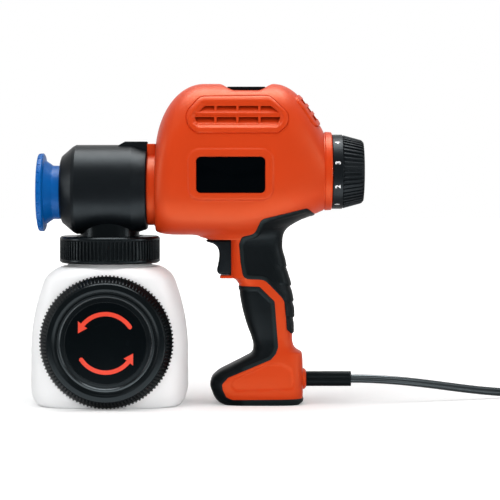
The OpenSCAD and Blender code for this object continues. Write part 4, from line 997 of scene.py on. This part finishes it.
def cut_side_vents(body):
    """Cuts the windows of the side vents, and sets sloping slats behind them."""
    field = prism("field", vent_outlines([1.0])[0], -FAR, FAR)
    for i in range(4):
        for k in (0, 1):
            x0, z0 = WINDOW_X + i * (WINDOW_W + BAR), WINDOW_Z + k * (WINDOW_H + 2 * BAR)
            window = box("window", (x0, -FAR, z0), (x0 + WINDOW_W, FAR, z0 + WINDOW_H), 0.5, 2)
            combine(window, field, "INTERSECT", keep=True)
            cut(window, box("middle", (60, -33, 240), (170, 33, 280)))
            cut(body, window)
    remove(field)
    run, low, high = 9.2, 6.6, 8.4
    for side in (-1, 1):
        for y, z in ((46.2, 248.6), (44.2, 258.4)):
            section = [(y, z), (y - run, z + low), (y - run, z + high), (y, z + high - low)]
            slat = loft("slat", [[(x, side * p[0], p[1]) for p in section] for x in (74.5, 155.5)])
            add(body, slat)


def cut_rear_vent(body):
    """Cuts the slots of the rear vent, with a low strip along the seam."""
    for at in (-SLOT_PITCH, 0, SLOT_PITCH):
        for y0, y1, floor in ((-25, -2.4, -16), (2.4, 25, -16), (-5, 5, 0.0)):
            slot = box("slot", (at - SLOT_HALF, y0, floor), (at + SLOT_HALF, y1, 24), 0.7, 2)
            cut(body, rear_placed(slot))


def cut_pad_seats(body):
    """Cuts the seats of the soft pads."""
    for outline, low, high in ((UPPER_PAD, BASE_H, HANDLE_TOP), (LOWER_PAD, 0.0, grip_z(0.7))):
        seat = prism("seat", outline, -FAR, FAR)
        cut(seat, under_pad(low, high))
        cut(body, seat)


def make_housing():
    """Both shells of the housing, cut from one hollow body."""
    stations = np.concatenate([
        POD_FRONT + DOME_L * (1 - np.cos(np.linspace(0, math.pi / 2, 72))),
        np.linspace(POD_LEVEL, POD_TAIL, 72)[1:], np.linspace(POD_TAIL, POD_BACK, 52)[1:]])
    body = loft("housing", lower_saddle(np.array([pod_ring(x, 0, 440) for x in stations])))
    let_in_fittings(body)
    grow_handle(body)
    hollow_out(body, stations)
    cut_side_vents(body)
    cut_rear_vent(body)
    cut(body, box("trigger_slot", (103, -8.9, 116.0), (125, 8.9, 147.8)))
    cut_pad_seats(body)
    for side, name in ((-1, "housing_left"), (1, "housing_right")):
        half = half_of(body, side, name + "_shell")
        if side > 0:
            for x, z in SCREWS:
                cut(half, rod("well", "Y", (x, 0, z), 3.7, 6, FAR, 32))
        done(smooth(tidy(half, 0.00001), 30), "orange_plastic", "gun", name)
    remove(body)


make_housing()


def make_pads():
    """The soft pads, each cut to its outline and split on the seam."""
    for outline, node, low, high, band, fade in (
            (UPPER_PAD, "grip_upper", BASE_H, HANDLE_TOP, 3.4, (145.0, 138.0)),
            (LOWER_PAD, "grip_lower", 0.0, 114.3, 3.2, (117.0, 122.0))):
        face = handle_rings(PAD_PROUD, 0, 230, 0.6, low, high)
        pad = loft("pad", dress_pad(face, outline, band, low > 0))
        if low:
            tail = np.array([pod_ring(x, PAD_PROUD, 300) for x in np.linspace(PAD_FRONT, POD_BACK, 96)])
            add(pad, loft("tail", dress_pad(tail, outline, band, False)))
            fill_corner(pad)
        cut(pad, under_pad(low, high))
        combine(pad, prism("inset", outline, -FAR, FAR), "INTERSECT")
        for side, name in ((-1, "left"), (1, "right")):
            half = tidy(half_of(pad, side, node + "_" + name + "_pad"), 0.00001)
            mark_band(half, outline, band, fade)
            done(smooth(half, 38), "soft_grip", "gun", node + "_" + name)
        remove(pad)


make_pads()


def make_top_pad():
    """The pad in the saddle: it follows the floor below and is nearly flat on top."""
    half, (edge, edge_z), (crown, crown_z) = 16.8, (16.4, 283.74), (14.8, 283.82)
    floor = [(x, POD_TOP - float(saddle_fall(x)) + 0.15) for x in SADDLE_MID + np.linspace(-half, half, 41)]
    top = [(SADDLE_MID + edge, edge_z), (SADDLE_MID + crown, crown_z),
           (SADDLE_MID - crown, crown_z), (SADDLE_MID - edge, edge_z)]
    pad = prism("saddle_pad", floor + top, -25, 25)
    done(smooth(bevel_edges(pad, 0.8, 3, 50), 40), "soft_grip", "gun", "top_pad")


def make_badge():
    """The bare plate in the badge's seat."""
    gap, thick = 0.35, 1.2
    outline = eased(rect(grown(BADGE_X, -gap), grown(BADGE_Z, -gap), 3.9), 6, True)
    plate = prism("bare_badge", outline, BADGE_FLOOR - thick, BADGE_FLOOR)
    done(smooth(bevel_edges(plate, 0.35, 2), 40), "badge_black", "gun", "badge_plate")


make_top_pad()
make_badge()


# Collars, knob and pump head
def make_collars():
    """The orange rings at the pod's front and back."""
    bore = 24.3
    front = spun("front_collar_ring", eased([
        (bore, 34), (31.4, 34, 0.5), (32, 35, 0.8), (32, 41.4), (bore, 41.4)], closed=True),
        "X", (0, 0, HEAD_Z), 128, True)
    add(front, box("collar_key", (34.05, -10, HEAD_Z + 20), (41.4, 10, HEAD_Z + 41), 0.8))
    sleeve = rod("sleeve", "X", (0, 0, PUMP_Z), 30.4, 40.4, 47.4, 96)
    cut(sleeve, rod("bore", "X", (0, 0, HEAD_Z), bore, 33, 50, 96))
    add(front, sleeve)
    cut(front, rod("bore", "X", (0, 0, HEAD_Z), bore - 0.01, 33, 50, 128))
    done(smooth(front), "orange_plastic", "gun", "front_collar")
    rear = spun("rear_collar_ring", eased([
        (29.9, 188.7), (29.9, 199.0), (34.2, 199.1, 0.4), (35.0, 198.2, 0.8), (BACK_R, 193.2, 0.5),
        (34.5, 192.6, 0.3), (34.5, 191.72), (31.6, 191.72), (31.6, 185.7), (12, 185.7), (12, 171.7),
        (8, 171.7), (8, 188.7)], closed=True), "X", (0, 0, BACK_Z), 128, True)
    done(smooth(rear), "orange_plastic", "gun", "rear_collar")


make_collars()

KNOB_R, KNOB_RIBS, NUMBER_H, NUMBER_STEP = 33.3, 48, 6.2, 37.0


def make_number(digit, degrees, middle):
    """A printed number, laid round the knob's band."""
    bpy.ops.object.select_all(action="DESELECT")
    bpy.ops.object.text_add(location=(0, 0, 0))
    text = bpy.context.object
    text.data.body = digit
    text.data.size = NUMBER_H * MM
    text.data.align_x = "CENTER"
    text.data.align_y = "CENTER"
    text.data.offset = 0.0002
    text.data.resolution_u = 4
    bpy.ops.object.convert(target="MESH")
    r = (KNOB_R + 0.06) * MM
    for v in text.data.vertices:
        a = math.radians(degrees) + v.co.x / r
        v.co = Vector((middle * MM - v.co.y, -r * math.cos(a), KNOB_Z * MM + r * math.sin(a)))
    text.data.update()
    return text


def make_knob():
    """The flow knob: a turned body, ribs with rounded ends, and the numbers on its band."""
    front, band, back, axis = 199.5, 9.0, 228.0, (0, 0, KNOB_Z)
    foot, end, foot_r, end_r = front + band, back - 2.6, 31.8, 27.3
    body = spun("flow_knob", eased([
        (0, front + 10.5), (26.0, front + 10.5), (30.6, front + 2), (30.6, front, 0.3), (KNOB_R, front, 0.6),
        (KNOB_R, foot, 0.4), (foot_r, foot + 0.3, 0.3), (end_r, end, 1.5), (25.2, back - 0.3, 0.8),
        (22.5, back, 0.8), (0, back)]), "X", axis, 144)
    rib = box("rib", (0, -1.05, -1.2), (end - foot + 0.2, 1.05, 1.15), 0.75, 3)
    placed(rib, (foot + 0.4, 0, KNOB_Z + 31.75), math.atan2(foot_r - end_r, end - foot - 0.3))
    ribs = around(rib, KNOB_RIBS, "X", axis, "ribs")
    tip = box("rib_end", (-0.8, -1.05, -1.4), (3.0, 1.05, 1.0), 0.7, 2)
    placed(tip, (end - 0.1, 0, KNOB_Z + 27.4), math.radians(48))
    tips = around(tip, KNOB_RIBS, "X", axis, "rib_ends")
    knob = join([body, ribs, tips], "flow_knob")
    done(smooth(knob, 40), "black_plastic", "knob", "control_knob")
    numbers = [make_number(n, NUMBER_STEP * i - 60, front + 4.4) for i, n in enumerate("12345678")]
    done(join(numbers, "knob_numbers"), "number_print", "knob", slot="white_plastic")


make_knob()


def make_pump():
    """The pump head with its locking rail, and the neck under it."""
    rail_top = HEAD_Z + 43
    body = spun("pump_head", eased([
        (0, -43.5), (27.0, -43.5, 1.5), (30, -42.4, 2.5), (38.5, -32.5, 2.5), (40, -29.5, 1.5),
        (40, 20.5, 1.2), (36, 33, 0.6), (35, 34, 0.6), (24, 34), (24, 44), (20.5, 44), (20.5, 30.5),
        (32, 30.5), (36.5, 19.5), (36.5, -22.5), (31, -26.5), (0, -26.5)]), "X", (0, 0, HEAD_Z), 160)
    neck = spun("pump_neck", eased([
        (23, 143.1), (36.9, 143.1, 0.4), (36.9, 146.6, 0.4), (26.5, 146.6, 0.4), (26.5, 165), (23, 165)],
        closed=True), "Z", (0, 0, 0), 128, True)
    # The neck takes the darker lid finish instead of the pump head's: a painted shade for the shadow that
    # falls on it under the pump head.
    done(smooth(neck, 28), "lid_black", "gun", slot="black_plastic")
    add(body, rod("sleeve", "X", (0, 0, PUMP_Z), 14, -27, 28, 64))
    rail = prism("rail", eased([
        (7.5, HEAD_Z + 37), (8.5, HEAD_Z + 39.7), (14.5, rail_top, 1), (34, rail_top), (34, HEAD_Z + 32)],
        4, True), -10, 10)
    add(body, bevel_edges(rail, 0.7, 3))
    cut(body, rod("socket", "X", (0, 0, PUMP_Z), 15.05, -45, -29.5, 64))
    cut(body, rod("bore", "X", (0, 0, PUMP_Z), 11.05, -31, 40, 64))
    done(smooth(body, 28), "black_plastic", "gun", "pump_housing")


make_pump()


def make_tip():
    """The spray tip, a flared cup with a notched rim."""
    rim, front, back, axis, notches = 35.0, -63.5, -43.9, (0, 0, PUMP_Z), 24
    body = spun("spray_tip_piece", eased([
        (0, front + 9), (10, front + 8), (26, front + 2.4, 1.0), (rim - 3, front, 0.8),
        (rim - 0.4, front, 1.2), (rim, front + 2.2, 1.5), (rim, front + 4.4, 0.8),
        (rim - 1.6, front + 5.4, 0.8), (29.0, front + 5.8, 1.0), (24, front + 13, 1.5), (24, back),
        (15, back), (15, -29.9), (0, -29.9)]), "X", axis, 144)
    notch = box("notch", (front - 1, -0.9, PUMP_Z + rim - 0.7), (front + 3.1, 0.9, PUMP_Z + rim + 2), 0.3, 2)
    cut(body, around(notch, notches, "X", axis, "notches"))
    cut(body, rod("bore", "X", axis, 6, front - 1, -53.4))
    done(smooth(body, 30), "blue_plastic", "spray_tip", "spray_tip")


make_tip()


# Container, its ring and the side lid
RING_RIBS, LID_TEETH, LID_BACK, LID_FACE = 80, 108, -46.8, 10.7


def make_ring():
    """The ribbed ring that holds the container."""
    body = spun("ring_piece", eased([
        (38, 127), (43.2, 127, 0.6), (45, 128.4, 1.2), (45, 130.4, 0.5), (43.8, 130.8, 0.3),
        (43.8, 147.2, 0.3), (45, 147.6, 0.5), (45, 149.4, 1.2), (43.4, 151, 1.0), (30.1, 151), (30.1, 150),
        (26.9, 150), (26.9, 147), (38, 147)], closed=True), "Z", (0, 0, 0), 160, True)
    rib = box("rib", (43.2, -0.85, 130.4), (44.9, 0.85, 147.6), 0.6, 3)
    ring = join([body, around(rib, RING_RIBS, "Z", (0, 0, 0), "ribs")], "ring_piece")
    done(smooth(ring, 40), "ring_black", "ring", "container_ring", slot="black_plastic")


make_ring()


def make_arrow(turn, r, y0, y1, w=1.9):
    """A curved arrow with a round tail that shows the way the lid turns."""
    start, end = math.radians(34), math.radians(141)

    def at(radius, angle):
        return np.array((radius * math.cos(angle), radius * math.sin(angle)))

    sweep = np.linspace(start, end, 40)
    outline = [at(r + w, a) for a in sweep]
    outline += [at(r + 5.2, end), at(r, end + 0.33), at(r - 5.0, end - 0.02)]
    outline += [at(r - w, a) for a in sweep[::-1]]
    outline += [at(r, start) + at(w, start + a) for a in np.linspace(-math.pi, 0, 9)[1:-1]]
    c, s = math.cos(turn), math.sin(turn)
    return prism("arrow", [(c * x - s * z, LID_Z + s * x + c * z) for x, z in outline], y0, y1)


def make_lid():
    """The side lid: a toothed cap, a bead, and a disc with turning arrows."""
    axis = (0, 0, LID_Z)

    def at(h):
        return LID_BACK - h

    def turned(name, profile):
        rows = [(p[0], at(p[1])) + p[2:] for p in profile]
        return spun(name, eased(rows, closed=True), "Y", axis, 160, True)

    body = turned("lid_piece", [
        (51.5, 0), (57.9, 0, 0.4), (57.9, 2, 0.8), (52.5, 11.3, 0.8), (51.4, 12.5, 0.9), (47.3, 13.0, 0.6),
        (46.2, 12.4, 0.5), (44.4, 11.0, 0.6), (43.2, 10.9), (39.7, 10.8), (37.2, 10.8, 0.15),
        (36.9, 11.1, 0.15), (36.1, 11.1, 0.15), (35.8, LID_FACE, 0.1), (0, LID_FACE), (0, 10), (51.5, 10)])
    tooth = box("tooth", (-0.8, 0, -1.8), (0.8, 10.9, 0.0), 0.5, 2)
    placed(tooth, (0, at(11.2), LID_Z + 53.3), math.atan2(59.0 - 53.2, 9.4), "X")
    skirt = box("skirt_tooth", (-0.8, at(2.2), LID_Z + 57.0), (0.8, at(0), LID_Z + 59.0), 0.4, 2)
    teeth = around(tooth, LID_TEETH, "Y", axis, "teeth")
    lid = join([body, teeth, around(skirt, LID_TEETH, "Y", axis, "skirt_teeth")], "lid_piece")
    done(smooth(lid, 40), "lid_black", "lid", "side_lid", slot="black_plastic")
    bead = turned("lid_bead", [(43.4, 10.5), (43.3, 11.2, 0.3), (42.6, 12.2, 0.5), (40.8, 12.2, 0.5),
                               (39.7, 11.0, 0.3), (39.6, 10.5)])
    done(smooth(bead, 60), "bead_black", "lid", slot="black_plastic")
    arrows = [make_arrow(turn, 25.6, at(LID_FACE), at(10.84)) for turn in (0.0, math.pi)]
    done(join(arrows, "lid_arrows"), "arrow_print", "lid", slot="orange_plastic")
    disc = rod("lid_disc", "Y", axis, 35.5, at(10.6), at(10.77), 128)
    done(smooth(disc), "gloss_black", "lid", slot="black_plastic")


make_lid()


# Container: height, half width and depth, half its neck's foot, its own foot, its shoulder and its wall
BOTTLE_H, BOTTLE_W, BOTTLE_D, NECK_W = 124.0, 70.0, 46.0, 40.0
FOOT_H, FOOT_IN, SHOULDER_Z, BOTTLE_T = 18.0, 9.0, 111.5, 2.4


def bottle_fall(t):
    return 1 - np.sqrt(1 - clamp01(t) ** 2)


def bottle_ring(z, grow, count, lift=0.0):
    """The container's section at z: it draws in at the foot, tapers upwards and closes over the shoulder."""
    foot = FOOT_IN * bottle_fall((FOOT_H - z) / FOOT_H)
    width = BOTTLE_W * (1 - 0.63 * max(0, z / BOTTLE_H - 0.38) ** 2)
    half_w = mix(width, NECK_W, bottle_fall((z - SHOULDER_Z) / (BOTTLE_H - SHOULDER_Z))) - foot
    half_d = mix(BOTTLE_D, NECK_W, bottle_fall((z - 114) / 10)) - 0.45 * foot
    c = superellipse(half_w + grow, half_d + grow, 3.8, count)
    return np.stack([c[:, 0], c[:, 1], np.full(count, z + lift)], 1)


def make_container():
    """The container with its neck and its side mouth, hollowed out."""
    zs = np.concatenate([
        FOOT_H * (1 - np.cos(np.linspace(0, math.pi / 2, 26))), np.linspace(FOOT_H, SHOULDER_Z, 50)[1:],
        SHOULDER_Z + (BOTTLE_H - SHOULDER_Z) * np.sin(np.linspace(0, math.pi / 2, 24))[1:]])
    body = loft("container_piece", [bottle_ring(z, 0, 260) for z in zs])
    neck = spun("neck", eased([
        (0, 118), (39.4, 118), (39.4, 123.9), (37, 126.2, 2.0), (37, 141.6, 0.6), (0, 141.6)]),
        "Z", (0, 0, 0), 128)
    add(body, neck)
    add(body, rod("mouth", "Y", (0, 0, LID_Z), 50.5, -55.3, -38, 128))
    inner = [bottle_ring(z, -BOTTLE_T, 120, mix(BOTTLE_T, -BOTTLE_T, z / BOTTLE_H)) for z in zs[::3]]
    cut(body, loft("inside", inner))
    cut(body, rod("neck_bore", "Z", (0, 0, 0), 34.6, 112, 150, 96))
    cut(body, rod("mouth_bore", "Y", (0, 0, LID_Z), 46.5, -60, -34, 128))
    done(smooth(tidy(body, 0.00001), 30), "natural_bottle", "container", "container")


make_container()


# Trigger, cord guard and the rest of the solids
def make_trigger():
    """The trigger: its finger curve in front, its side edges rounded, and its heel in the handle."""
    low, top, half_w = 116.4, 147.4, 8.5
    front = flowing([
        (86.7, 147.0), (87.7, 145.9), (90.2, 145.1), (94.0, 143.6), (97.0, 140.6), (98.3, 136.4),
        (98.2, 131.0), (97.2, 125.4), (96.4, 121.4), (96.7, 118.9), (98.1, 117.1), (100.6, low)], 5)
    back = [(104.0, low), (108.0, low), (110.0, low), (110.0, 132.0), (110.0, top), (104.0, top), (96.0, top),
            (88.0, top)]
    outline = np.vstack([front, back])
    run = np.roll(outline, -1, 0) - np.roll(outline, 1, 0)
    out = np.stack([-run[:, 1], run[:, 0]], 1) / np.linalg.norm(run, axis=1, keepdims=True)
    out *= np.sign((out * (outline - outline.mean(axis=0))).sum())
    round_r = mix(0.5, 2.0, soft_step((outline[:, 0] - 88) / 9))
    rings = []
    for side in (-1, 1):
        for a in np.linspace(0, math.pi / 2, 6)[::-side]:
            flat = outline - out * (round_r * (1 - math.sin(a)))[:, None]
            across = side * (half_w - round_r * (1 - math.cos(a)))
            rings.append(np.stack([flat[:, 0], across, flat[:, 1]], 1))
    lever = loft("trigger_lever", rings)
    add(lever, box("heel", (108.5, -half_w, low + 2), (117, half_w, top - 2), 0.5, 2))
    done(smooth(lever, 40), "black_plastic", "trigger", "trigger")


def make_cord_ends():
    """The guard where the cord leaves the handle, and the plug's body."""
    done(eased_node("cord_guard", 0.5, 3, 40), "soft_grip", "gun", "cord_guard", slot="cord_vinyl")
    done(eased_node("plug_body", 0.8, 3, 30), "cord_vinyl", "gun", "plug_body")


make_trigger()
make_cord_ends()

# Each solid that still shows gets the finish of its slot
SLOT_OF = {sub["node"]: sub["material_slot"] for sub in frame["record"]["subparts"]}
for node, solid in frame["nodes"].items():
    solid.data.materials.clear()
    solid.data.materials.append(FINISH[SLOT_OF[node]])


# Floor, backdrop and light
def make_floor():
    """A pale floor that keeps the shadow near the object and goes over into the white behind it."""
    bpy.ops.object.select_all(action="DESELECT")
    bpy.ops.mesh.primitive_plane_add(size=12, location=(0.1, 0, -0.0002))
    floor = bpy.context.object
    floor.name = "floor"
    mat = bpy.data.materials.new("pale_floor")
    mat.use_nodes = True
    t = mat.node_tree
    shader = t.nodes["Principled BSDF"]
    plain = {"Base Color": (0.93, 0.93, 0.93, 1), "Roughness": 0.9, "Specular IOR Level": 0.0,
             "Emission Color": (1, 1, 1, 1)}
    for label, value in plain.items():
        shader.inputs[label].default_value = value
    path, coords = add_node(t, "LightPath"), add_node(t, "TexCoord")
    reach = add_node(t, "VectorMath", "LENGTH")
    paler = add_node(t, "MapRange", From_Min=0.22, From_Max=0.75, To_Min=0.2, To_Max=1.0)
    glow = add_node(t, "Math", "MULTIPLY")
    t.links.new(coords.outputs["Object"], reach.inputs[0])
    t.links.new(reach.outputs["Value"], paler.inputs["Value"])
    t.links.new(path.outputs["Is Camera Ray"], glow.inputs[0])
    t.links.new(paler.outputs["Result"], glow.inputs[1])
    t.links.new(glow.outputs[0], shader.inputs["Emission Strength"])
    floor.data.materials.append(mat)


def make_world():
    """Soft light from all round, and white where the camera or a reflection looks past the object."""
    scene.world = bpy.data.worlds.new("studio")
    scene.world.use_nodes = True
    w = scene.world.node_tree
    light = w.nodes["Background"]
    light.inputs["Color"].default_value = (1, 1, 1, 1)
    light.inputs["Strength"].default_value = 0.4
    white = add_node(w, "Background", Color=(1, 1, 1, 1), Strength=1.0)
    rays, blend = add_node(w, "LightPath"), add_node(w, "MixShader")
    seen, any_ray = add_node(w, "Math", "MAXIMUM"), add_node(w, "Math", "MAXIMUM")
    w.links.new(rays.outputs["Is Camera Ray"], seen.inputs[0])
    w.links.new(rays.outputs["Is Glossy Ray"], seen.inputs[1])
    w.links.new(seen.outputs[0], any_ray.inputs[0])
    w.links.new(rays.outputs["Is Transmission Ray"], any_ray.inputs[1])
    for k, shade in enumerate((any_ray, light, white)):
        w.links.new(shade.outputs[0], blend.inputs[k])
    w.links.new(blend.outputs[0], w.nodes["World Output"].inputs["Surface"])


# Place, aim, size, watts, and what the lamp gives: softboxes light all, a fill no gloss, cards gloss alone
LAMPS = {
    "key_softbox": ((-0.75, -0.9, 1.0), (0.1, 0, 0.16), (0.6, 0.6), 4.5, "all"),
    "top_softbox": ((0.15, -0.1, 1.5), (0.1, 0, 0.15), (1.2, 0.7), 11, "all"),
    "fill_softbox": ((1.1, -0.95, 0.6), (0.1, 0, 0.15), (0.6, 0.6), 3.5, "all"),
    "front_softbox": ((0.1, -1.5, 0.3), (0.1, 0, 0.13), (1.2, 0.6), 4.5, "fill"),
    "top_card": ((0.1, 0.12, 1.3), (0.1, 0, 0.15), (1.2, 0.8), 54, "sheen"),
    "left_card": ((-1.1, -0.15, 0.25), (0.0, 0, 0.17), (0.25, 0.8), 8, "sheen"),
    "right_card": ((1.3, -0.35, 0.3), (0.1, 0, 0.17), (0.3, 0.7), 8, "sheen"),
    "floor_card": ((0.1, -0.16, 0.003), (0.1, -0.16, 1.0), (0.6, 0.2), 3.2, "sheen"),
}


def make_lamp(name, place, aim, size, watts, gives):
    bpy.ops.object.light_add(type="AREA", location=place)
    lamp = bpy.context.object
    lamp.name = name
    lamp.data.shape = "RECTANGLE"
    lamp.data.size, lamp.data.size_y = size
    lamp.data.energy = watts
    lamp.rotation_mode = "QUATERNION"
    lamp.rotation_quaternion = (Vector(aim) - Vector(place)).to_track_quat("-Z", "Y")
    lamp.visible_camera = False
    lamp.visible_diffuse = gives != "sheen"
    lamp.visible_glossy = gives != "fill"


make_floor()
make_world()
for name, settings in LAMPS.items():
    make_lamp(name, *settings)
